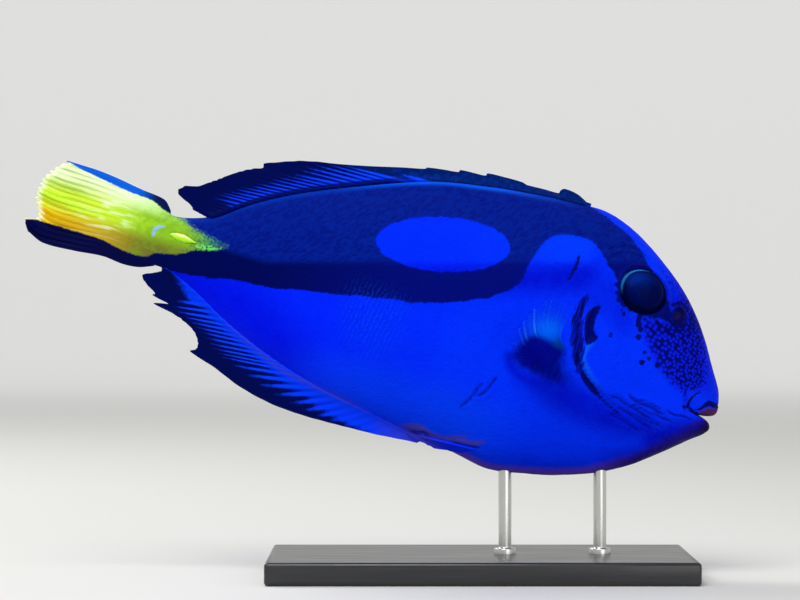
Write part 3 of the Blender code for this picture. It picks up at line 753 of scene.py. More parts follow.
def lip_places(top, corner, bottom, sealed, turns):
    """One ring of the lips or of the mouth's inside."""
    level, rise = np.cos(turns), np.sin(turns)
    upper = rise > 0
    end_s, end_h = np.where(upper, top[0], bottom[0]), np.where(upper, top[1], bottom[1])
    s = end_s + (corner[0] - end_s) * np.abs(level) ** FACE_BEND
    open_share = np.clip((np.abs(rise) - sealed) / (1 - sealed), 0, 1) ** 1.15
    h = corner[1] + (end_h - corner[1]) * open_share + 0.03 * np.sign(rise)
    return np.stack([s, corner[2] * np.sign(level) * np.abs(level) ** 0.85, h], 1)


def eye_matrix(side):
    """Where an eye sits, as a matrix from the eye's own millimetres to the fish's frame."""
    (s, h), sign = EYE_PLACE, SIDES[side]
    y = sign * (float(flank(s, h)) - EYE_SUNK)
    turn = Matrix.Rotation(sign * EYE_LOOKS_UP, 4, "X") @ Matrix.Rotation(sign * EYE_LOOKS_AHEAD, 4, "Z")
    # The eye is a tenth longer than high
    return Matrix.Translation((s, y, h)) @ turn @ Matrix.Scale(1.1, 4, (1, 0, 0))


def eye_places(side, places):
    """Places of the fish's frame seen from an eye: how far off its axis, and in its own millimetres."""
    inverse = np.array(eye_matrix(side).inverted())
    local = places @ inverse[:3, :3].T + inverse[:3, 3]
    return np.hypot(local[:, 0], local[:, 2]), local


class TANG_OT_skin(bpy.types.Operator):
    """Model the skin, from the lips to the tail stalk, as one surface"""

    bl_idname = "tang.skin"
    bl_label = "Skin"

    def execute(self, context):
        sizes = context.scene.tang_sizes
        piece = self.rings()
        apply_modifier(piece, "SUBSURF", levels=sizes.skin_levels, render_levels=sizes.skin_levels)
        places = to_fish(coordinates(piece))
        self.carve(piece, places)
        self.mark(piece, places)
        nodes = ("head", "lower_jaw", "gill_cover_left", "gill_cover_right", "trunk", "tail_stalk")
        finish_piece(piece, skin_material(context.scene.tang_colours), "skin", *nodes)
        return {"FINISHED"}

    def rings(self):
        """Extrudes ring after ring from the stalk to the mouth, each set to its place on the body."""
        turns = np.arange(SKIN_SIDES) * math.tau / SKIN_SIDES
        rows = [ring_places(s, s, s, turns) for s in STRAIGHT_RINGS]
        rows += [ring_places(*ends, turns) for ends in FACE_RINGS]
        rows += [lip_places(*ends, turns) for ends in LIP_RINGS]
        piece = start("tang_skin", bpy.ops.mesh.primitive_circle_add, vertices=SKIN_SIDES, radius=3 * MM)
        edit_whole()
        shape = bmesh.from_edit_mesh(piece.data)
        order = shape.verts.layers.int.new("order")
        shape.verts.layers.float.new("ring")
        for k, vert in enumerate(shape.verts):
            vert[order] = k
        for number, row in enumerate(rows):
            if number:
                bpy.ops.mesh.extrude_region_move()
            shape = bmesh.from_edit_mesh(piece.data)
            order, ring = shape.verts.layers.int["order"], shape.verts.layers.float["ring"]
            points = to_world(row)
            for vert in shape.verts:
                if vert.select:
                    vert.co = points[vert[order]]
                    vert[ring] = number
            if number == 0:
                bpy.ops.mesh.edge_face_add()
                bpy.ops.mesh.select_all(action="SELECT")
                bpy.ops.mesh.select_mode(type="EDGE")
        bpy.ops.mesh.extrude_region_move()
        bpy.ops.mesh.merge(type="CENTER")
        shape = bmesh.from_edit_mesh(piece.data)
        end = to_world([(MOUTH_END[0], 0, MOUTH_END[1])])[0]
        for vert in shape.verts:
            if vert.select:
                vert.co = end
        bpy.ops.mesh.select_mode(type="VERT")
        face_outwards()
        return piece

    def carve(self, piece, places):
        """Moves the skin's points for its covers, folds, lips, nostrils, grooves, grain and eye sockets."""
        s, y, h = places.T
        lift = np.zeros(len(s))
        crease = np.full(len(s), -3.0)
        gap, along, hand = line_distance(rounded(COVER_EDGE), s, h)
        # The gill cover stands proud of the skin behind its edge, with a groove along it
        ahead = gap * -hand
        ends = within(along, 0.18, 0.3)
        near = gap < 20
        plate = ease(ahead, -0.35, 0.35) * np.exp(-np.clip(ahead, 0, 99) / 9.0)
        lift += np.where(near, 0.85 * plate * ends, 0)
        lift -= np.where(near, 1.0 * ends * bell(ahead + 1.2, 0.8), 0)
        for line, depth, width in FOLDS:
            gap, along, _ = line_distance(rounded(line), s, h)
            taper = within(along, 0.15, 0.15)
            lift -= depth * bell(gap, width) * taper
            lift += 0.45 * depth * bell(gap - 2.2 * width, 1.2 * width) * taper
            if depth > 0.2:
                crease = np.maximum(crease, 0.75 * depth * taper - gap)
        # Four of the dark strokes are creases too
        for stroke, depth in STROKE_DEPTHS:
            lift -= depth * ease(stroke_depth(DARK_STROKES[stroke], s, h), -0.35, 0.3)
        lift += 0.3 * bell(s - 6, 1.6) * bell(h + 1.2, 2.4)
        # Each nostril is a pit with a raised rim
        pit = oval_depth(*NOSTRIL, s, h)
        lift += 0.35 * bell(pit, 0.55) - 0.9 * ease(pit, 0.2, 1.2)
        pit = oval_depth(*SMALL_NOSTRIL, s, h)
        lift += 0.15 * bell(pit + 0.3, 0.4) - 0.6 * ease(pit, 0.0, 0.5)
        # The spine folds into a groove
        groove, along, _ = line_distance(np.array(SPINE_GROOVE), s, h)
        lift -= 0.5 * bell(groove, 0.9) * within(along, 0.15, 0.5)
        # Pleats of the skin over the gills, 1.3 mm apart, then lumps of 9, 2.2 and 3 mm
        upper_gill = patch(s, h, 46.5, 53, 4, 21, 3, 6)
        lift += 0.16 * upper_gill * np.sin((s + 0.28 * h) * math.tau / 1.3)
        grain = uneven(places, 2.2, 2)
        lift += 0.10 * uneven(places, 9.0, 1) + 0.045 * grain
        lift += 0.12 * patch(s, h, 10, 34, -14, -6, 8, 5) * uneven(places * (1, 1, 2.2), 3.0, 5)
        # The lips, the end of the stalk and the mouth's inside stay as they were modelled
        lift *= ((s > 2) | (np.abs(y) > 2.5) | (h > 0) | (h < -8)) * ease(189 - s, 1, 6)
        lift *= 1 - ease(noted(piece, "ring"), LIPS_FROM + 2.0, LIPS_FROM + 3.4)
        # A furrow along the root of the dorsal fin
        furrow = 0.5 * bell(back(s) - h, 0.5)
        lift -= furrow * ease(s, 104, 118) * ease(166 - s, 0, 6)
        note(piece, crease=crease)
        wrinkled = patch(s, h, 9, 37, -14, -4, 8, 4) + 0.7 * patch(s, h, 33, 60, 30, 45, 8, 8)
        note(piece, wrinkled=wrinkled + 0.5 * patch(s, h, 44, 54, -6, 22, 5, 8))
        points = coordinates(piece) + normals(piece) * (lift * MM)[:, None]
        # Each eye sits in a sunk ring, with a fold of skin round it and a shallow dip round the fold
        for side in SIDES:
            radius, local = eye_places(side, places)
            here = (y * SIDES[side] > 0) & (radius < 13)
            angle = np.arctan2(local[:, 2], -local[:, 0])
            ring = SOCKET_RADIUS + 0.12 * np.sin(3 * angle + 1)
            push = -3.6 * ease(ring - radius, -0.15, 1.1)
            push += 0.5 * bell(radius - ring - 0.5, 0.5)
            push -= 0.25 * bell(radius - ring - 1.9, 0.8)
            axis = np.array(POSE @ eye_matrix(side))[:3, 1] * SIDES[side]
            points += np.where(here, push, 0)[:, None] * axis
        set_coordinates(piece, points)

    def mark(self, piece, places):
        """Stores the markings of the skin, and its painted light and shade, as distances to their edges and
        shares.
        """
        s, y, h = places.T
        dark = np.minimum(depth_inside(BAND, s, h), -oval_depth(*OVAL, s, h))
        small = [depth_inside(GILL_BLOTCH, s, h)]
        small += [radius - np.hypot(s - dot_s, h - dot_h) for dot_s, dot_h, radius in DARK_DOTS]
        small += [stroke_depth(stroke, s, h) for stroke in DARK_STROKES]
        note(
            piece, band=dark, small_marks=most(*small), gill=depth_inside(GILL_SLIT, s, h),
            dusky=bell(s - 20.5, 6) * bell(h - 22.5, 4.5),
            yellow=depth_inside(YELLOW, s, h), speckled=depth_inside(SPECKLED, s, h),
            axil=depth_inside(PECTORAL_SHADOW, s, h), fish=places,
        )
        # The speckles lie on the head as if it were rolled out flat, and grow from 1 mm at the lips to 1.7 mm
        rolled = half_width(s) - np.abs(y)
        flat_s, flat_h = s - 0.6 * rolled + 22, h + 0.52 * rolled
        speckles = np.log(np.hypot(flat_s, flat_h)), np.arctan2(flat_h, flat_s), np.zeros(len(s))
        note(
            piece, speckles=np.stack(speckles, 1) / 0.034,
            lobed=bell(s - 36, 8) * bell(h - 22, 6.5),
        )
        gap, along, hand = line_distance(rounded(COVER_EDGE), s, h)
        cover_rim = bell(gap * -hand - 0.5, 0.75)
        cover_rim *= ease(along, 0.3, 0.45) * ease(1 - along, 0.1, 0.5)
        # Painted highlights: lit rims of the gill cover and the back, the light on the nape, and the paler
        # belly
        off_back = back(s) - h
        wide = read_table(RIM_WIDTH, s)
        top_rim = bell(off_back - 0.6 * wide, wide) * read_table(RIM_LIGHT, s)
        patch_light = patch(s, h, 51, 67, 27, 38, 4, 4) * ease(-dark, -0.5, 1.0)
        height, slope, lowest = LIGHT_LINE
        light_line = np.maximum(height + slope * s, lowest)
        above = ease(h - light_line, -1.2, 1.4)
        low_light = 0.2 * patch(s, h, 62, 124, -40, -19, 26, 12)
        azure = most(1.2 * cover_rim, top_rim, 0.12 * patch_light * above, low_light)
        note(piece, azure=np.clip(azure, 0, 1), above=above)
        # Painted shade in deeper blue: under the line of the light, in the strokes, and along the belly,
        # snout and nape. The speckles and the body towards the rear are darker too
        shade = most(
            0.95 * bell(light_line - h - 5, 6.5) * patch(s, h, 46, 112, -50, 50, 12, 4),
            0.12 * ease(s, 82, 100),
            *(deep * ease(stroke_depth(line, s, h), -soft, soft / 2) for line, soft, deep in SHADE_STROKES),
        )
        off_belly = h - belly(s)
        shade = most(
            shade * (1 - 0.9 * above * ease(s, 40, 60)),
            0.13 * ease(h, -6, 6) * ease(s, 58, 64),
            0.45 * ease(s, 156, 170),
            bell(off_belly, 6.5) * ease(36 - s, 0, 12),
            0.4 * bell(off_belly, 5.0) * ease(s, 20, 34) * ease(80 - s, 0, 20),
            0.5 * ease(depth_inside(SPECKLED, s, h), -1, 2),
            bell(off_back, 1.4) * ease(30 - s, 0, 8),
        )
        note(
            piece, shade=np.clip(shade, 0, 1),
            flecked=ease(34 - s, 0, 10) * ease(6.5 - off_back, 0, 5) * ease(h, 12, 22),
            rear=ease(s, 95, 160),
            violet=0.22 * ease(s, 82, 92) + 0.26 * ease(s, 104, 122) * ease(-h, -6, 4),
        )
        # A painted pink reflection along the belly's edge, painted shade on the chin, and the lower lip in
        # the chin's dark purple
        depth = read_table(PINK_REFLECTION_DEPTH, s)
        plum = ease(depth - off_belly, -0.6 * depth, 0.75 * depth) * ease(96 - s, 0, 24)
        chin = ease(7.0 - np.hypot(s / 1.2, (h + 9.5) * 1.1), -1, 3.6) * ease(-h, 4.6, 5.8)
        plum = most(plum, 0.9 * chin, ease(depth_inside(LOWER_LIP, s, h), -0.5, 0.5))
        note(
            piece, plum=np.clip(plum, 0, 1), chin=ease(38 - s, 0, 22), seam=seam_share(s, h),
            vent=most(*(ease(stroke_depth(stroke, s, h), -0.9, 0.5) for stroke in VENT)),
        )
        # The wrinkles of the back run up and forward, about 1.2 mm apart and 3 mm long
        note(
            piece, flow=np.stack([(h - s) * 0.36, y * 0.5, (s + h) * 0.8], 1),
            wrinkle_flow=np.stack([s * 0.35 + h * 0.1, y * 0.4, h * 0.9 - s * 0.22], 1),
            stripes=patch(s, h, 101, 118, -14, 3, 12, 12),
            groove=0.9 * ease(stroke_depth(GROOVE, s, h), -0.5, 0.4),
            hook=0.9 * ease(stroke_depth(HOOK_HIGHLIGHT, s, h), -0.3, 0.3),
            lip=ease(depth_inside(UPPER_LIP, s, h), -0.35, 0.45),
        )
        # Painted shade: the mouth's inside and the front of the chin go near black
        inner = ease(noted(piece, "ring"), LIPS_FROM + 3.2, LIPS_FROM + 4.4)
        note(
            piece, mouth=np.maximum(inner, 0.8 * chin * ease(4.6 - s, 0, 3.6)),
            nostril=oval_depth(*NOSTRIL, s, h),
        )


def yellow_parts(add, colours):
    """The tail's yellow: green and olive on the stalk, pale above and golden below on the fin, partly as
    painted light and shade.
    """
    place_s, place_h = add("SeparateXYZ", "fish"), add("SeparateXYZ", "fish", output=2)
    middle = add("Mix", add("MapRange", place_s, 160, 174), "#3c9c36", colours.green)
    middle = add("Mix", add("MapRange", place_s, 176, 204), middle, colours.yellow)
    lower = add("Mix", add("MapRange", place_s, 180, 206), colours.olive, colours.gold)
    lower = add("Mix", add("MapRange", place_s, 202, 219, 0, 0.75), lower, "#f6dc04")
    upper = add("Mix", add("MapRange", place_s, 172, 194), "#96dc40", colours.yellow_pale)
    colour = add("Mix", add("MapRange", place_h, -4.0, 1.5), lower, middle)
    colour = add("Mix", add("MapRange", place_h, 4.0, 9.5), colour, upper)
    # Green mottling of the stalk, and painted glints: pale streaks between the rays, 3 to 6 mm long, where
    # the web starts
    mottle = add("TexNoise", Vector="fish", Scale=0.55, Detail=4.0)
    mottle = add("MULTIPLY", add("MapRange", mottle, 0.58, 0.36, 0, 0.42), add("MapRange", place_s, 192, 184))
    mottle = add("MULTIPLY", mottle, add("MapRange", place_h, 8.5, 5.0))
    colour = add("Mix", mottle, colour, "#6c9c1c")
    blotches = add("Mapping", Vector="fish", Scale=(0.14, 0.3, 0.85))
    blotches = add("TexNoise", Vector=blotches, Scale=1.0, Detail=1.0)
    pale = add("MULTIPLY", add("MapRange", place_s, 185, 196), add("MapRange", place_s, 208, 198))
    pale = add("MULTIPLY", pale, add("MapRange", blotches, 0.5, 0.66, 0, 0.75))
    return add("Mix", add("MULTIPLY", pale, add("MapRange", place_h, -6, 0)), colour, colours.yellow_pale)


def skin_material(colours):
    """Wet fish skin: tiny scales in a film of slime, which give a soft satin sheen of the skin's own blue."""
    material, add, shader = new_material(
        "scaled fish skin", Specular_IOR_Level=0.12, Specular_Tint=(0.04, 0.2, 1.0, 1.0), IOR=1.36
    )
    # Lumps of about 3 mm and 0.8 mm that roughen the edges of the markings
    coarse, fine = lumps(add, 0.35), lumps(add, 1.3)
    ragged = add("MULTIPLY_ADD", fine, 0.9, coarse)
    dot = add("TexVoronoi", Vector="speckles", Scale=1.0, Randomness=0.7, voronoi_dimensions="2D")
    # Blues of the body, with painted shade in the deeper blue
    shade = add("MULTIPLY_ADD", add("ADD", fine, coarse), 0.35, "shade")
    blue = paint(
        add, colours.body, (shade, colours.deep),
        (add("MapRange", "speckled", -1.0, 2.0, 0, 0.45), "#0b10e4"), ("violet", "#010ff6"),
    )
    # Fine ripples of the flank, about 1.4 mm apart, that lean back towards the belly
    place_s, place_h = add("SeparateXYZ", "fish"), add("SeparateXYZ", "fish", output=2)
    ripple = add("MULTIPLY_ADD", place_s, 4.5, add("MULTIPLY", place_h, 0.7))
    ripple = add("MULTIPLY_ADD", add("ADD", coarse, fine), 9.0, ripple)
    ripple = add("MULTIPLY", add("SINE", ripple), "stripes")
    ripple = add("MULTIPLY", ripple, add("MapRange", fine, -0.15, 0.1, 0.3, 1.0))
    # Painted highlights in the lighter blue, streaked by the ripples
    azure = add("MULTIPLY_ADD", "azure", 0.9, add("MULTIPLY", ripple, 0.3))
    blue = add("Mix", azure, blue, colours.azure)
    # The dark band, paler where the light falls on it
    streaks = add("TexNoise", Vector="flow", Scale=1.0, Detail=3.0, Distortion=0.6)
    shaded = add("Mix", "rear", colours.band_lower, colours.band_rear)
    band = add("Mix", "above", shaded, colours.band_upper)
    dark_streaks = add("MULTIPLY", "above", add("MapRange", streaks, 0.60, 0.38, 0, 0.6))
    band = add("Mix", dark_streaks, band, colours.band_lower)
    # The painted highlights lie over the band as well
    band = add("Mix", azure, band, colours.azure)
    lobes = add("MULTIPLY", add("SUBTRACT", 0.42, dot), "lobed")
    edge = add("MULTIPLY_ADD", lobes, 3.6, add("ADD", "band", ragged))
    colour = add("Mix", add("MapRange", edge, -0.35, 0.35), blue, band)
    # Speckles of the snout: pale dots that stand apart in a dark net, which breaks into dark dots at its edge
    reach = add("MapRange", "speckled", -1.2, 2.6, 0.85, 0.30)
    reach = add("SUBTRACT", reach, add("MULTIPLY", "dusky", 0.1))
    net = add("MapRange", add("SUBTRACT", dot, reach), -0.2, 0.3)
    net = add("MULTIPLY", net, add("MapRange", "speckled", -2.0, 1.5))
    net = add("MULTIPLY_ADD", "dusky", add("MapRange", coarse, -0.1, 0.15, 0, 0.75), net)
    net = add("MULTIPLY_ADD", "flecked", add("MapRange", fine, 0.0, 0.14, 0, 0.7), net)
    colour = add("Mix", add("MINIMUM", net, 0.98), colour, "#01035c")
    # Dark dots, strokes and the gill blotch; in the creased strokes and the crack the dark is painted shade
    small = add("MULTIPLY_ADD", fine, 0.9, "small_marks")
    colour = add("Mix", add("MapRange", small, -0.25, 0.25, 0, 0.96), colour, "#02045a")
    # Skin of the gill slit: dark, with paler streaks about 0.8 mm apart that run down it
    slit = add("Mapping", Vector="fish", Rotation=(0, 0.3, 0), Scale=(1.3, 0.6, 0.16))
    slit = add("TexNoise", Vector=slit, Scale=1.0, Detail=2.0)
    gill = add("MULTIPLY_ADD", add("SUBTRACT", slit, 0.5), 5.0, "gill")
    streaky = add("Mix", add("MapRange", slit, 0.46, 0.62), "#010450", "#0414a8")
    colour = add("Mix", add("MapRange", gill, -0.4, 0.5, 0, 0.97), colour, streaky)
    # Painted shadow of the pectoral fin on the flank round its root
    axil = add("MapRange", add("MULTIPLY_ADD", ragged, 2.0, "axil"), -1.8, 1.4, 0, 0.92)
    colour = add("Mix", axil, colour, add("Mix", add("MapRange", slit, 0.44, 0.62), "#01037a", "#020aa4"))
    # Painted shade in the folds, the painted pink reflection along the belly's edge and painted shade on the
    # chin, the seam of the anal fin, lips, the mouth with painted shade inside it, and nostrils
    # Painted shade along the creases of the folds
    crease = add("MapRange", add("MULTIPLY_ADD", fine, 0.35, "crease"), -0.3, 0.25)
    seam = add("MULTIPLY", "seam", add("MapRange", coarse, -0.14, 0.06, 0.25, 0.5))
    colour = paint(
        add, colour, (add("MULTIPLY", "plum", 0.9), add("Mix", "chin", colours.plum, colours.chin)),
        (seam, colours.seam), (add("MULTIPLY", "vent", 0.8), "#3e3890"),
        (add("MULTIPLY", crease, 0.62), "#01067c"), ("lip", colours.lip), ("mouth", "#12031c"),
        (add("MapRange", "nostril", -1.1, 0.0, 0, 0.85), "#04063c"),
        (add("MapRange", "nostril", 0.5, 1.2, 0, 0.85), colours.nostril),
    )
    # The yellow wedge, grainy and darker where it fades forward
    upper = add("MapRange", place_h, 0.0, 4.0)
    grain = add("MULTIPLY_ADD", fine, add("MULTIPLY_ADD", upper, 1.8, 0.9), "yellow")
    soft = add("MULTIPLY_ADD", upper, 0.9, 0.35)
    wedge = add("MapRange", add("DIVIDE", grain, soft), -1.0, 1.0)
    mottled = add("MULTIPLY_ADD", fine, 26.0, place_s)
    wedge = add("MULTIPLY", wedge, add("MapRange", mottled, 157, 172, 0.25, 1.0))
    colour = add("Mix", wedge, colour, yellow_parts(add, colours))
    # A pale line in the groove ahead of the spine, and the painted highlight of the crescent behind it
    colour = add("Mix", add("MULTIPLY", "groove", add("MapRange", fine, -0.15, 0.1)), colour, "#66e060")
    colour = add("Mix", "hook", colour, "#8cbcf4")
    # Scales of this fish are about 0.3 mm, too fine to show, so the grain is drawn at 0.6 mm
    scales = add("TexVoronoi", Vector="fish", Scale=1.6)
    height = add("MULTIPLY_ADD", scales, 0.7, add("MULTIPLY", streaks, 2.0))
    wrinkles = add("TexNoise", Vector="wrinkle_flow", Scale=1.0, Detail=3.0, Distortion=1.2)
    wrinkles = add("MULTIPLY", add("MULTIPLY", wrinkles, "wrinkled"), 5.0)
    wrinkles = add("MULTIPLY_ADD", ripple, 0.5, wrinkles)
    height = add("ADD", height, add("SUBTRACT", wrinkles, add("MULTIPLY", crease, 2.5)))
    bump = add("Bump", Height=height, Strength=0.8, Distance=0.14 * MM)
    rough = add("MapRange", Value=streaks, To_Min=0.38, To_Max=0.55, interpolation_type="LINEAR")
    plug(shader, Base_Color=colour, Roughness=rough, Normal=bump)
    return material


class TANG_OT_eyes(bpy.types.Operator):
    """Model both eyes"""

    bl_idname = "tang.eyes"
    bl_label = "Eyes"

    def execute(self, context):
        sizes = context.scene.tang_sizes
        material = eye_material(context.scene.tang_colours)
        for side, sign in SIDES.items():
            ball = bpy.ops.mesh.primitive_uv_sphere_add
            piece = start(f"tang_eye_{side}", ball, segments=72, ring_count=44, radius=1.0)
            edit_whole()
            size = (sizes.eye_radius / MM, sizes.eye_radius / MM, sizes.eye_bulge / MM)
            bpy.ops.transform.resize(value=size)
            bpy.ops.object.mode_set(mode="OBJECT")
            points = coordinates(piece)
            radius = np.hypot(points[:, 0], points[:, 1])
            # The clear front of the eye stands a little proud of the ball, with a shallow step round it
            front = points[:, 2] > 0
            points[:, 2] += np.where(front, 0.35 * ease(5.6 - radius, -0.4, 0.6), 0)
            note(piece, iris=radius)
            # Painted highlight: a thin pale arc round the upper rear edge of the eye's front. Painted
            # reflection: a soft paler blue towards its upper rear
            turned = np.arctan2(points[:, 1], points[:, 0])
            rear_top = ease(np.cos(turned - 0.62), 0.25, 1.0)
            ring = bell(radius - 6.65, 0.1 + 0.22 * rear_top)
            note(
                piece, ring=ring * rear_top**1.5 * front,
                sheen=bell(points[:, 0] - 3.0, 3.6) * bell(points[:, 1] - 2.6, 3.0),
            )
            local = np.stack([points[:, 0], points[:, 2] * sign, points[:, 1]], 1)
            matrix = np.array(eye_matrix(side))
            placed = local @ matrix[:3, :3].T + matrix[:3, 3]
            set_coordinates(piece, to_world(placed))
            face_outwards()
            finish_piece(piece, material, "eye", f"eye_{side}")
        return {"FINISHED"}


def eye_material(colours):
    """A living eye: a near-black iris seen through a wet, clear front, which gives a sharp gloss."""
    material, add, shader = new_material(
        "wet eye", Roughness=0.2, IOR=1.376, Specular_IOR_Level=0.035, Specular_Tint=(0.25, 0.6, 1.0, 1.0)
    )
    # Painted reflection: soft paler blue towards the upper rear; darker middle and edge; painted highlight:
    # the thin pale arc at the rim
    iris = paint(
        add, colours.eye, (add("MULTIPLY", "sheen", 0.8), "#02268c"),
        (add("MapRange", "iris", 3.3, 2.5, 0, 0.3), "#01031e"),
        (add("MapRange", "iris", 5.4, 6.0, 0, 0.7), "#00021c"), ("ring", "#2c9cff"),
    )
    plug(shader, Base_Color=iris, Roughness=add("MapRange", "iris", 4.6, 6.2, 0.2, 0.85))
    return material


def sheet(name, across, along):
    """A flat grid, and for each of its points the share across and along it."""
    grid = bpy.ops.mesh.primitive_grid_add
    piece = start(name, grid, x_subdivisions=across, y_subdivisions=along, size=2.0)
    points = coordinates(piece)
    return piece, (points[:, 0] + 1) / 2, (points[:, 1] + 1) / 2


def thicken(piece, wall):
    """Gives a sheet its wall, then pushes its faces out by the swelling stored for each point."""
    apply_modifier(piece, "SOLIDIFY", thickness=wall, offset=0)
    face_outwards()
    swell = noted(piece, "swell") * MM
    set_coordinates(piece, coordinates(piece) + normals(piece) * swell[:, None])
    note(piece, fish=to_fish(coordinates(piece)))


def between_rays(count):
    """0 on each ray and 1 halfway to the next."""
    return 0.5 - 0.5 * np.cos(math.tau * count)


def crests(sizes, count):
    """How far a fin's rays stand off its web, in millimetres."""
    return sizes.ray_height / MM * (1 - between_rays(count))


def median_fin(piece, u, v, rays, steps, edge, inward, sizes, cut):
    """Lays a sheet out as a median fin. Returns each point's root along the body and how far off it is."""
    first, last = rays[0][0], rays[-1][0]
    base = first + (last - first) * u
    tips = smooth_line(rays)(base)
    count = read_table(steps, base)
    root = np.stack([base, edge(base) + inward * 1.6], 1)
    # Each ray ends in a small tooth, and the web between two rays is cut back
    length = np.linalg.norm(tips - root, axis=1)
    place = root + (tips - root) * (v * (1 - np.minimum(cut(base, count) / length, 0.5)))[:, None]
    fold = 0.5 * np.sin(base * 0.11 + 1.0) * v**2
    lay_out(piece, place[:, 0], fold, place[:, 1])
    off_base = np.abs(place[:, 1] - edge(place[:, 0]))
    web = 0.6 * crests(sizes, count) * ease(1 - v, 0.1, 0.9)
    note(piece, swell=web + 1.3 * np.exp(-off_base / 1.1) * ease(1 - v, 0, 0.3), ray=count, out=v)
    return base, off_base


class TANG_OT_median_fins(bpy.types.Operator):
    """Model the dorsal and the anal fin, laid back against the body"""

    bl_idname = "tang.median_fins"
    bl_label = "Dorsal and anal fins"

    def execute(self, context):
        sizes = context.scene.tang_sizes
        material = fin_material(context.scene.tang_colours)
        piece, u, v = sheet("tang_dorsal_fin", 330, 36)

        def dorsal_cut(base, count):
            return 0.22 * between_rays(count) * ease(base, 100, 112) * (1 + np.sin(count * 1.3))

        base, off_base = median_fin(piece, u, v, DORSAL_RAYS, DORSAL_STEPS, back, -1, sizes, dorsal_cut)
        # How far up the fin is blue, its spiny part, the painted shadow in the gap at its root, how strong
        # the painted highlights on its ray crests are, and how ribbed it is
        note(
            piece, blue=read_table(DORSAL_BLUE, base) - v, spiny=ease(112 - base, 0, 10),
            gap=ease(base, 100, 112) * ease(1.15 - off_base, -0.3, 0.3),
            front=0.12 + 0.5 * ease(128 - base, 0, 22), ribbed=np.ones(len(v)),
        )
        thicken(piece, sizes.fin_wall)
        note(piece, seam=np.zeros(len(piece.data.vertices)))
        finish_piece(piece, material, "fin", "dorsal_fin")
        piece, u, v = sheet("tang_anal_fin", 320, 36)

        def anal_cut(base, count):
            torn = ease(base, 136, 152) * ease(162 - base, 0, 4)
            return (0.12 + 0.7 * torn * ease(np.sin(count * 1.9 + 0.8), 0.2, 1)) * between_rays(count)

        base, _ = median_fin(piece, u, v, ANAL_RAYS, ANAL_STEPS, belly, 1, sizes, anal_cut)
        # How far up the fin is blue, how strong the painted highlights on its ray crests are, and how ribbed
        # it is
        note(
            piece, blue=read_table(ANAL_BLUE, base) - v, spiny=np.zeros(len(v)), gap=np.zeros(len(v)),
            front=0.1 + 0.3 * ease(base, 104, 130),
            ribbed=0.12 + 0.4 * ease(base, 96, 112) + 0.48 * ease(base, 112, 132),
        )
        thicken(piece, sizes.fin_wall)
        places = to_fish(coordinates(piece))
        violet_end = 0.9 * ease(103 - places[:, 0], 0, 15)
        note(piece, seam=np.maximum(seam_share(places[:, 0], places[:, 2]), violet_end))
        below = read_table(SEAM, places[:, 0]) - places[:, 2]
        note(piece, ribbed=noted(piece, "ribbed") * ease(below, 0.2, 3.2))
        finish_piece(piece, material, "fin", "anal_fin")
        return {"FINISHED"}


def fin_material(colours):
    """Fin web over bony rays: thin wet skin, blue at the root in tapering fingers and navy to the margin."""
    material, add, shader = new_material("fin web, blue to navy", **WET_WEB, Roughness=0.42)
    grain, wave = lumps(add, 0.8), ray_wave(add)
    narrow = add("SUBTRACT", add("MapRange", wave, -0.75, 1.0), 0.5)
    fingers = add("MULTIPLY_ADD", add("MULTIPLY", narrow, 0.46), "ribbed", "blue")
    fingers = add("MULTIPLY_ADD", grain, 0.2, fingers)
    navy = add("Mix", "spiny", colours.fin_navy, "#021a60")
    lit_web = add("MULTIPLY", "spiny", add("MapRange", grain, -0.02, 0.12, 0, 0.3))
    navy = add("Mix", lit_web, navy, "#0434a4")
    colour = add("Mix", add("MapRange", fingers, -0.10, 0.14), navy, colours.fin_blue)
    between = add("MULTIPLY", add("MapRange", wave, 0.1, -0.8, 0, 0.6), add("MapRange", fingers, 0.5, 0.12))
    between = add("MULTIPLY", between, add("MapRange", fingers, -0.05, 0.14))
    colour = add("Mix", add("MULTIPLY", between, "ribbed"), colour, colours.deep)
    # Painted highlights along the ray crests, strongest towards the front
    crest = add("MULTIPLY", add("MapRange", wave, 0.2, 0.95, 0, 0.6), add("MapRange", fingers, 0.0, 0.2))
    colour = add("Mix", add("MULTIPLY", crest, "front"), colour, colours.azure)
    # Painted shade in the troughs between the rays
    trough_shade = add("MULTIPLY", add("MapRange", wave, -0.55, -0.95, 0, 0.5), "ribbed")
    trough_shade = add("MULTIPLY", trough_shade, add("MapRange", "spiny", 0.8, 0.0))
    colour = add("Mix", trough_shade, colour, colours.fin_navy)
    # Painted shadow in the gap at the dorsal fin's root
    colour = add("Mix", add("MULTIPLY", "gap", 0.92), colour, "#01034a")
    seam = add("MULTIPLY", "seam", add("MapRange", grain, -0.14, 0.06, 0.25, 0.5))
    colour = add("Mix", seam, colour, colours.seam)
    rays = add("MULTIPLY", add("MULTIPLY", wave, "ribbed"), add("MapRange", fingers, -0.3, 0.2, 0.2, 0.8))
    bump = add("Bump", Height=rays, Strength=0.45, Distance=0.10 * MM)
    plug(shader, Base_Color=colour, Normal=bump)
    return material


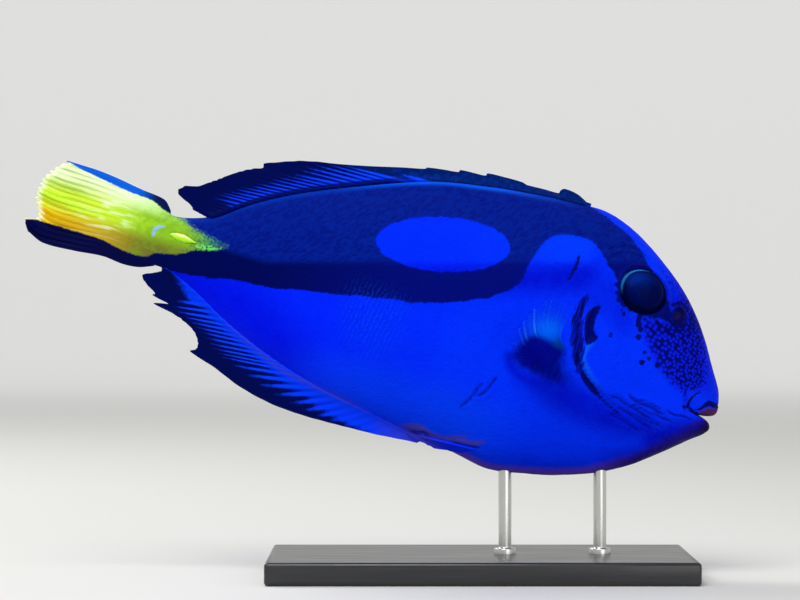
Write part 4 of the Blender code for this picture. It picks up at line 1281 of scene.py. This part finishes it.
class TANG_OT_tail_fin(bpy.types.Operator):
    """Model the half-closed tail fin"""

    bl_idname = "tang.tail_fin"
    bl_label = "Tail fin"

    def execute(self, context):
        sizes = context.scene.tang_sizes
        piece, u, v = sheet("tang_tail_fin", 288, 64)
        count = u * TAIL_STEPS
        wave = np.cos(math.tau * count)
        reach = TAIL_END - TAIL_ROOT
        low = smooth_line(TAIL_LOWER)(TAIL_ROOT + reach * v)
        high = smooth_line(TAIL_UPPER)(TAIL_ROOT + reach * v)
        torn = 1.5 * between_rays(count) * ease(u, 0.16, 0.26) * (0.7 + 0.3 * np.sin(count * 2.1))
        tip = smooth_line(TAIL_EDGE)(u) - torn
        place_s = TAIL_ROOT + (tip - TAIL_ROOT) * v
        place_h = low + (high - low) * u
        margin = within(u, 0.1, 0.1)
        folds = 0.75 + 0.4 * np.sin(count * 1.7 + 0.6)
        fold = sizes.tail_fold / MM * folds * wave * ease(v, 0.3, 0.9) * margin
        bow = 1.2 * (v**2) * np.sin(math.pi * (u - 0.1))
        lay_out(piece, place_s, fold + bow, place_h)
        fine = np.cos(2 * math.tau * count)
        thin = ease(1 - v, 0, 0.6)
        note(
            piece,
            swell=0.08 + 0.06 * fine * ease(v, 0.4, 0.8) + 0.9 * np.exp(-v * 7) * margin + 0.1 * thin,
            ray=count, out=v, across=u,
        )
        thicken(piece, sizes.fin_wall * 0.8)
        places = to_fish(coordinates(piece))
        note(piece, yellow=depth_inside(YELLOW, places[:, 0], places[:, 2]))
        finish_piece(piece, tail_material(context.scene.tang_colours), "tail", "tail_fin")
        return {"FINISHED"}


def tail_material(colours):
    """Tail web over bony rays: thin yellow skin, painted pale on the crests as highlights and darker between,
    with navy outer rays.
    """
    material, add, shader = new_material("tail web, yellow", Specular_IOR_Level=0.05, IOR=1.36, Roughness=0.5)
    # Streaks along the rays, about 1 mm apart, that fade towards the stalk
    lengthwise = add("CombineXYZ", add("MULTIPLY", "out", 1.4), "ray")
    streaks = add("TexNoise", Vector=lengthwise, Scale=1.3, Detail=2.0)
    wave = add("MULTIPLY_ADD", add("SUBTRACT", streaks, 0.5), 5.0, add("MULTIPLY", ray_wave(add), 0.7))
    fade = add("MapRange", "out", 0.22, 0.75)
    yellow = yellow_parts(add, colours)
    # Painted highlights on the ray crests and painted shade in the troughs, both fading towards the stalk
    crest = add("MULTIPLY", add("MapRange", wave, 0.3, 1.5, 0, 0.8), fade)
    yellow = add("Mix", crest, yellow, "#f2fbb8")
    trough_shade = add("MULTIPLY", add("MapRange", wave, -0.3, -1.4, 0, 0.6), fade)
    shadow = add("Mix", add("MapRange", "across", 0.35, 0.8), "#bc8010", "#9cb422")
    yellow = add("Mix", trough_shade, yellow, shadow)
    yellow = add("Mix", add("MapRange", "out", 0.95, 1.0, 0, 0.7), yellow, "#f6fbd8")
    edge = add("MULTIPLY_ADD", lumps(add, 1.2), 0.6, "yellow")
    upper = add("Mix", add("MapRange", "out", 0.12, 0.35), "#02144e", "#085cd8")
    navy = add("Mix", add("MapRange", "across", 0.5, 0.9), "#01043c", upper)
    colour = add("Mix", add("MapRange", edge, -0.25, 0.25), navy, yellow)
    bump = add("Bump", Height=streaks, Strength=0.3, Distance=0.15 * MM)
    plug(shader, Base_Color=colour, Normal=bump)
    return material


class TANG_OT_paired_fins(bpy.types.Operator):
    """Model the spread pectoral fins and the folded pelvic fins"""

    bl_idname = "tang.paired_fins"
    bl_label = "Pectoral and pelvic fins"

    def execute(self, context):
        sizes = context.scene.tang_sizes
        material = pectoral_material(context.scene.tang_colours)
        for side, sign in SIDES.items():
            piece, u, v = sheet(f"tang_pectoral_fin_{side}", PECTORAL_STEPS * 10, 44)
            self.pectoral(piece, u, v, sign, sizes)
            finish_piece(piece, material, "fin", f"pectoral_fin_{side}")
        material = pelvic_material()
        for side, sign in SIDES.items():
            piece, u, v = sheet(f"tang_pelvic_fin_{side}", PELVIC_STEPS * 8, 40)
            self.pelvic(piece, u, v, sign, sizes)
            finish_piece(piece, material, "fin", f"pelvic_fin_{side}")
        return {"FINISHED"}

    def ends(self, tips, u):
        """Where the web ends at each share across a fin, from the tips of its rays."""
        return smooth_line([(k, *tip) for k, tip in enumerate(tips)])(u * (len(tips) - 1))

    def pectoral(self, piece, u, v, sign, sizes):
        """A fan that sweeps out and up from behind the gill cover, its first ray the stoutest."""
        (s0, h0), (s1, h1) = PECTORAL_ROOT
        root_s, root_h = s0 + (s1 - s0) * u, h0 + (h1 - h0) * u
        root = np.stack([root_s, flank(root_s, root_h) - 1.2, root_h], 1)
        tips = self.ends(PECTORAL_TIPS, u)
        count = u * PECTORAL_STEPS
        tip = np.stack([tips[:, 0], flank(root_s, root_h) + tips[:, 2], tips[:, 1]], 1)
        tip = root + (tip - root) * (1 - 0.04 * between_rays(count))[:, None]
        place = root + (tip - root) * v[:, None]
        place[:, 0] += 1.8 * np.sin(math.pi * v) + 0.12 * np.sin(math.pi * count) * ease(v, 0.3, 0.9)
        place[:, 2] -= 0.9 * np.sin(math.pi * v)
        place[:, 1] *= sign
        set_coordinates(piece, to_world(place))
        stout = np.exp(-u * 18)
        ridge = 0.35 * crests(sizes, count) * ease(1 - v, -0.1, 0.9)
        note(
            piece, swell=ridge + (0.35 * stout + 0.9 * np.exp(-v * 9)) * ease(1 - v, 0, 0.6),
            ray=count, out=v,
        )
        thicken(piece, sizes.fin_wall * 0.6)
        places = to_fish(coordinates(piece))
        # Painted shade on the fin's root, painted light on the web and near its root, and the hind part whose
        # rays are plainest
        note(
            piece, axil=depth_inside(PECTORAL_SHADOW, places[:, 0], places[:, 2]),
            teal=0.9 * bell(places[:, 0] - 53, 2.4) * bell(places[:, 2] - 3.4, 2.2),
            hind=ease(places[:, 0], 58.5, 62.5),
            lit=bell(places[:, 0] - 58, 7.0) * bell(places[:, 2] - 7.5, 4.4),
        )

    def pelvic(self, piece, u, v, sign, sizes):
        """A narrow fin folded back against the belly."""
        (s0, h0), (s1, h1) = PELVIC_ROOT
        root = np.stack([s0 + (s1 - s0) * u, h0 + (h1 - h0) * u], 1)
        tips = self.ends(PELVIC_TIPS, u)
        place = root + (tips - root) * v[:, None]
        off = 0.35 + 0.5 * np.sin(math.pi * v) - 1.2 * ease(0.15 - v, 0, 0.15)
        y = np.maximum(flank(place[:, 0], place[:, 1]), 1.2) + off
        lay_out(piece, place[:, 0], sign * y, place[:, 1])
        count = u * PELVIC_STEPS
        stout = 0.25 * np.exp(-u * 9) * ease(1 - v, 0, 0.4)
        note(piece, swell=crests(sizes, count) + stout, ray=count, out=v)
        thicken(piece, sizes.fin_wall * 0.7)


def pectoral_material(colours):
    """Pectoral web: clear skin between fine rays, which shows the flank behind it, lit azure by painted
    light.
    """
    material, add, shader = new_material("pectoral web, azure", **WET_WEB, Roughness=0.4)
    wave = ray_wave(add)
    # Painted light: azure where light falls on and through the web, and a darker blue-green patch near its
    # root
    colour = paint(add, colours.body, ("lit", "#006cf4"), ("teal", "#004c86"))
    # Uneven rays, plainest at the hind edge of the fin
    plain = add("MapRange", add("COSINE", add("MULTIPLY", "ray", 2.4)), -0.4, 0.8, 0.15, 1.0)
    plain = add("MULTIPLY", plain, add("MapRange", "hind", 0.0, 1.0, 0.3, 1.0))
    crest = add("MULTIPLY", add("MapRange", wave, 0.3, 0.95, 0, 0.7), add("MapRange", "out", 0.3, 0.7))
    crest = add("MULTIPLY", crest, plain)
    colour = add("Mix", crest, colour, "#3c8cff")
    # Painted shade near the fin's root, where it lies in its own shadow
    dark = add("MapRange", "axil", -1.6, 0.9, 0, 0.97)
    colour = add("Mix", dark, colour, "#01049a")
    # Painted light: the web glows where light falls on it, standing in for light shining through it
    plug(shader, Base_Color=colour, Emission_Color=colour, Emission_Strength=add("MULTIPLY", "lit", 0.28))
    rays = add("MULTIPLY", add("MapRange", wave, 0.3, 0.95, 0, 0.3), add("MapRange", "out", 1.0, 0.4))
    rays = add("MULTIPLY", rays, plain)
    clear = add("ADD", add("MapRange", "out", 0.30, 0.95, 0.86, 0.2), rays)
    clear = add("MULTIPLY", clear, add("MapRange", "ray", 15.0, 9.5, 0.25, 1.0))
    clear = add("MULTIPLY", clear, add("MapRange", "ray", 0.0, 2.0, 0.8, 1.0))
    plug(shader, Alpha=clear)
    return material


def pelvic_material():
    """Pelvic web: blue skin over a few stout rays, plum at the edge as a painted pink reflection."""
    material, add, shader = new_material("pelvic web, blue", **WET_WEB, Roughness=0.42)
    colour = add("Mix", add("MapRange", ray_wave(add), -0.9, 0.6), "#0118d0", "#0228ea")
    colour = add("Mix", add("MapRange", "out", 0.3, 1.0, 0, 0.6), colour, "#443eb0")
    plug(shader, Base_Color=colour)
    return material


class TANG_OT_tail_spines(bpy.types.Operator):
    """Model the folded blade on each side of the tail stalk"""

    bl_idname = "tang.tail_spines"
    bl_label = "Tail spines"

    def execute(self, context):
        material = spine_material()
        for side, sign in SIDES.items():
            ball = bpy.ops.mesh.primitive_uv_sphere_add
            piece = start(f"tang_tail_spine_{side}", ball, segments=40, ring_count=24, radius=1.0)
            points = coordinates(piece)
            reach = points[:, 2]
            slim = (1 - 0.6 * ease(-reach, 0.0, 1.0)) * (1 - 0.25 * ease(reach, 0.5, 1.0))
            length, width, height = SPINE_HALF
            s, h = SPINE_PLACE
            place_s = s + reach * length
            place_y = flank(place_s, np.full_like(place_s, h)) - 0.15 + points[:, 0] * width * slim
            place_y += 0.25 * ease(-reach, 0, 1)
            place_h = h + points[:, 1] * height * slim + 0.12 * reach
            lay_out(piece, place_s, sign * place_y, place_h)
            face_outwards()
            note(piece, fish=to_fish(coordinates(piece)))
            finish_piece(piece, material, "bone", f"tail_spine_{side}")
        return {"FINISHED"}


def spine_material():
    """Bone under a thin skin: smooth and a little glossy, yellow-green with a pale upper edge."""
    material, add, shader = new_material("spine, yellow bone", Roughness=0.3, IOR=1.5, Specular_IOR_Level=0.4)
    height = add("SeparateXYZ", "fish", output=2)
    colour = add("Mix", add("MapRange", height, 1.2, 2.2), "#a8e600", "#eefc9a")
    plug(shader, Base_Color=colour)
    return material


class TANG_OT_stand(bpy.types.Operator):
    """Model the display stand: its base and its rods"""

    bl_idname = "tang.stand"
    bl_label = "Stand"

    def execute(self, context):
        colours = context.scene.tang_colours
        self.base(lacquer_material(colours))
        steel = steel_material(colours)
        for name in ("stand_rod_front", "stand_rod_rear"):
            self.rod(name, steel)
        return {"FINISHED"}

    def base(self, material):
        """A slab with round corners, a softened rim and a flat ring of faces inset round its top."""
        low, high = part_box("stand_base")
        size, middle = high - low, (high + low) / 2
        piece = start("tang_stand_base", bpy.ops.mesh.primitive_cube_add, size=1.0)
        edit_whole()
        bpy.ops.transform.resize(value=size)
        bpy.ops.transform.translate(value=middle)
        bpy.ops.mesh.select_all(action="DESELECT")
        shape = bmesh.from_edit_mesh(piece.data)
        for edge in shape.edges:
            a, b = edge.verts
            edge.select = abs(a.co.z - b.co.z) > size.z / 2
        bpy.ops.mesh.bevel(offset=BASE_CORNER, segments=16, profile=0.5, affect="EDGES")
        self.select_top(piece, high.z)
        bpy.ops.mesh.inset(thickness=BASE_STEP, depth=0)
        bpy.ops.object.mode_set(mode="OBJECT")
        soften(piece, BASE_EDGE, 4)
        finish_piece(piece, material, "base", "stand_base")
        bpy.ops.object.shade_smooth_by_angle(angle=CREASED)

    def select_top(self, piece, level):
        """Selects the faces that look up at one level."""
        bpy.ops.mesh.select_mode(type="FACE")
        bpy.ops.mesh.select_all(action="DESELECT")
        shape = bmesh.from_edit_mesh(piece.data)
        shape.faces.ensure_lookup_table()
        for face in shape.faces:
            if face.normal.z > 0.9 and abs(face.calc_center_median().z - level) < 0.1 * MM:
                face.select = True
        bmesh.update_edit_mesh(piece.data)

    def rod(self, name, material):
        """A round rod from the base into the belly, with a low collar where it leaves the base."""
        low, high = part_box(name)
        middle, radius = (low + high) / 2, (high.x - low.x) / 2
        foot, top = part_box("stand_base")[1].z - ROD_IN_BASE, high.z + ROD_IN_BELLY
        piece = start(
            f"tang_{name}", bpy.ops.mesh.primitive_cylinder_add, vertices=48, radius=radius, depth=top - foot,
            location=(middle.x, 0, (foot + top) / 2),
        )
        bpy.ops.object.transform_apply(location=True, rotation=False, scale=False)
        bpy.ops.object.mode_set(mode="EDIT")
        for height in COLLAR_RINGS:
            bpy.ops.mesh.select_all(action="SELECT")
            bpy.ops.mesh.bisect(plane_co=(middle.x, 0, foot + height), plane_no=(0, 0, 1))
        bpy.ops.mesh.select_all(action="DESELECT")
        bpy.ops.mesh.select_mode(type="FACE")
        shape = bmesh.from_edit_mesh(piece.data)
        for face in shape.faces:
            centre = face.calc_center_median()
            face.select = abs(face.normal.z) < 0.5 and centre.z < foot + COLLAR_HEIGHT
        bmesh.update_edit_mesh(piece.data)
        bpy.ops.mesh.extrude_region_shrink_fatten(TRANSFORM_OT_shrink_fatten={"value": COLLAR_WALL})
        face_outwards()
        soften(piece, COLLAR_EDGE, 3)
        finish_piece(piece, material, "steel", name)
        bpy.ops.object.shade_smooth_by_angle(angle=CREASED)


def lacquer_material(colours):
    """Black lacquered beech: sprayed and rubbed down, which leaves a satin gloss and a trace of grain."""
    name = "black lacquered beech"
    material, add, shader = new_material(name, IOR=1.5, Coat_Weight=0.25, Coat_Roughness=0.12)
    places = add("TexCoord", output="Object")
    # Beech grain: lines about 1 mm apart that run along the base
    grain = add("Mapping", Vector=places, Scale=(40, 900, 900))
    grain = add("TexNoise", Vector=grain, Scale=1.0, Detail=4.0)
    colour = add("Mix", add("MapRange", grain, 0.35, 0.7, 0, 0.5), colours.lacquer, "#23252b")
    rough = add("MapRange", grain, 0.3, 0.7, 0.30, 0.42)
    bump = add("Bump", Height=grain, Strength=0.3, Distance=0.05 * MM)
    plug(shader, Base_Color=colour, Roughness=rough, Normal=bump)
    return material


def steel_material(colours):
    """Stainless steel rod, drawn and brushed lengthwise: fine lines along it and a soft gloss."""
    material, add, shader = new_material("brushed stainless steel", Metallic=1.0, Base_Color=colours.steel)
    places = add("TexCoord", output="Object")
    # Brush lines about 0.15 mm apart
    lines = add("Mapping", Vector=places, Scale=(6500, 6500, 60))
    lines = add("TexNoise", Vector=lines, Scale=1.0, Detail=3.0)
    rough = add("MapRange", lines, 0.3, 0.7, 0.20, 0.34)
    plug(shader, Roughness=rough, Normal=add("Bump", Height=lines, Strength=0.2, Distance=0.02 * MM))
    return material


def power_property(name, description, default):
    """A light's strength that a user can change."""
    return bpy.props.FloatProperty(name=name, description=description, default=default, min=0)


class TangStudio(bpy.types.PropertyGroup):
    """Studio round the model"""

    distance: size_property("Camera distance", "From the lens to the fish's middle plane", 1.0)
    picture_width: size_property("Picture width", "Width that the picture takes in at the fish", 246.3 * MM)
    key: power_property("Key light", "Power in watts of the light from above", 11.4)
    fill: power_property("Fill light", "Power in watts of the light from the front", 3.9)
    rim: power_property("Rim light", "Power in watts of the light from behind", 8.0)
    glow: power_property("Wall glow", "Strength of the light that the wall lets through", 0.36)
    ambient: power_property("Ambient", "Strength of the light from all round", 0.36)


def paper_material(colours, glow):
    """Matt paper: pressed fibres that scatter light evenly, and let some through where the bowl rises."""
    material, add, shader = new_material("matt paper", Roughness=0.9, Specular_IOR_Level=0.1)
    places = add("TexCoord", output="Object")
    # Fibres about 1 mm long
    fibres = add("TexNoise", Vector=places, Scale=900.0, Detail=2.0)
    colour = add("Mix", add("MapRange", fibres, 0.3, 0.7, 0, 0.25), colours.floor, "#d5d5d1")
    off = add("VectorMath", places, operation="LENGTH")
    glowing = add("MapRange", off, GLOW_FROM, GLOW_TO, 0, glow)
    plug(shader, Base_Color=colour, Emission_Color=(1, 1, 1, 1), Emission_Strength=glowing)
    return material


class TANG_OT_stage(bpy.types.Operator):
    """Set out the floor, the lights and the camera"""

    bl_idname = "tang.stage"
    bl_label = "Stage"

    def execute(self, context):
        studio = context.scene.tang_studio
        self.floor(context.scene.tang_colours, studio.glow)
        aim = Vector(VIEW_CENTRE)
        for name, (place, size) in LIGHTS.items():
            self.light(f"{name} light", Vector(place), aim, getattr(studio, name), size)
        self.world(studio.ambient)
        self.camera(studio, aim)
        context.scene.view_settings.view_transform = "Standard"
        return {"FINISHED"}

    def floor(self, colours, glow):
        """A wide pale bowl, flat under the model, that rises far off on every side."""
        disc = bpy.ops.mesh.primitive_circle_add
        piece = start("studio_floor", disc, vertices=96, radius=FLOOR_RADIUS, fill_type="NGON")
        edit_whole()
        radius, height = FLOOR_RADIUS, 0
        for turn in np.arange(1, BEND_STEPS + 1) * BEND_STEP:
            wider = FLOOR_RADIUS + BEND_RADIUS * math.sin(turn)
            higher = BEND_RADIUS * (1 - math.cos(turn))
            bpy.ops.mesh.extrude_region_move(TRANSFORM_OT_translate={"value": (0, 0, higher - height)})
            bpy.ops.transform.resize(value=(wider / radius, wider / radius, 1))
            radius, height = wider, higher
        bpy.ops.mesh.delete(type="FACE")
        bpy.ops.mesh.select_all(action="SELECT")
        bpy.ops.object.mode_set(mode="OBJECT")
        bpy.ops.object.shade_smooth()
        piece.data.materials.append(paper_material(colours, glow))

    def light(self, name, place, aim, power, size):
        """A soft square light that looks at the fish."""
        data = bpy.data.lights.new(name, "AREA")
        data.energy, data.size = power, size
        lamp = bpy.data.objects.new(name, data)
        bpy.context.scene.collection.objects.link(lamp)
        lamp.location = place
        lamp.rotation_euler = (aim - place).to_track_quat("-Z", "Y").to_euler()

    def world(self, strength):
        """Even white light from the open top of the bowl."""
        world = bpy.data.worlds.new("studio")
        world.use_nodes = True
        plug(world.node_tree.nodes["Background"], Color=(1, 1, 1, 1), Strength=strength)
        bpy.context.scene.world = world

    def camera(self, studio, aim):
        """Level, square to the fish's right side."""
        data = bpy.data.cameras.new("camera")
        data.sensor_width = 36.0
        data.lens = data.sensor_width * studio.distance / studio.picture_width
        data.clip_start, data.clip_end = 0.05, 20
        camera = bpy.data.objects.new("camera", data)
        bpy.context.scene.collection.objects.link(camera)
        camera.location = aim - Vector((0, studio.distance, 0))
        camera.rotation_euler = (math.radians(90), 0, 0)
        bpy.context.scene.camera = camera


STEPS = (
    TANG_OT_stage, TANG_OT_skin, TANG_OT_eyes, TANG_OT_median_fins, TANG_OT_tail_fin, TANG_OT_paired_fins,
    TANG_OT_tail_spines, TANG_OT_stand,
)


class TANG_PT_panel(bpy.types.Panel):
    """Lists the steps that build the model"""

    bl_label = "Regal blue tang"
    bl_idname = "TANG_PT_panel"
    bl_space_type = "VIEW_3D"
    bl_region_type = "UI"
    bl_category = "Tang"

    def draw(self, context):
        for step in STEPS:
            self.layout.operator(step.bl_idname)
        for group in (context.scene.tang_sizes, context.scene.tang_colours, context.scene.tang_studio):
            for name in group.bl_rna.properties.keys():
                if name not in ("rna_type", "name"):
                    self.layout.prop(group, name)


CLASSES = (TangSizes, TangColours, TangStudio, *STEPS, TANG_PT_panel)


def register():
    """Adds the panel, its steps and their settings to Blender."""
    for made in CLASSES:
        bpy.utils.register_class(made)
    bpy.types.Scene.tang_sizes = bpy.props.PointerProperty(type=TangSizes)
    bpy.types.Scene.tang_colours = bpy.props.PointerProperty(type=TangColours)
    bpy.types.Scene.tang_studio = bpy.props.PointerProperty(type=TangStudio)


def unregister():
    """Takes the panel, its steps and their settings out of Blender."""
    del bpy.types.Scene.tang_sizes, bpy.types.Scene.tang_colours, bpy.types.Scene.tang_studio
    for made in reversed(CLASSES):
        bpy.utils.unregister_class(made)


def main():
    """Builds the model."""
    register()
    for step in STEPS:
        group, name = step.bl_idname.split(".")
        getattr(getattr(bpy.ops, group), name)()


if __name__ == "__main__":
    main()
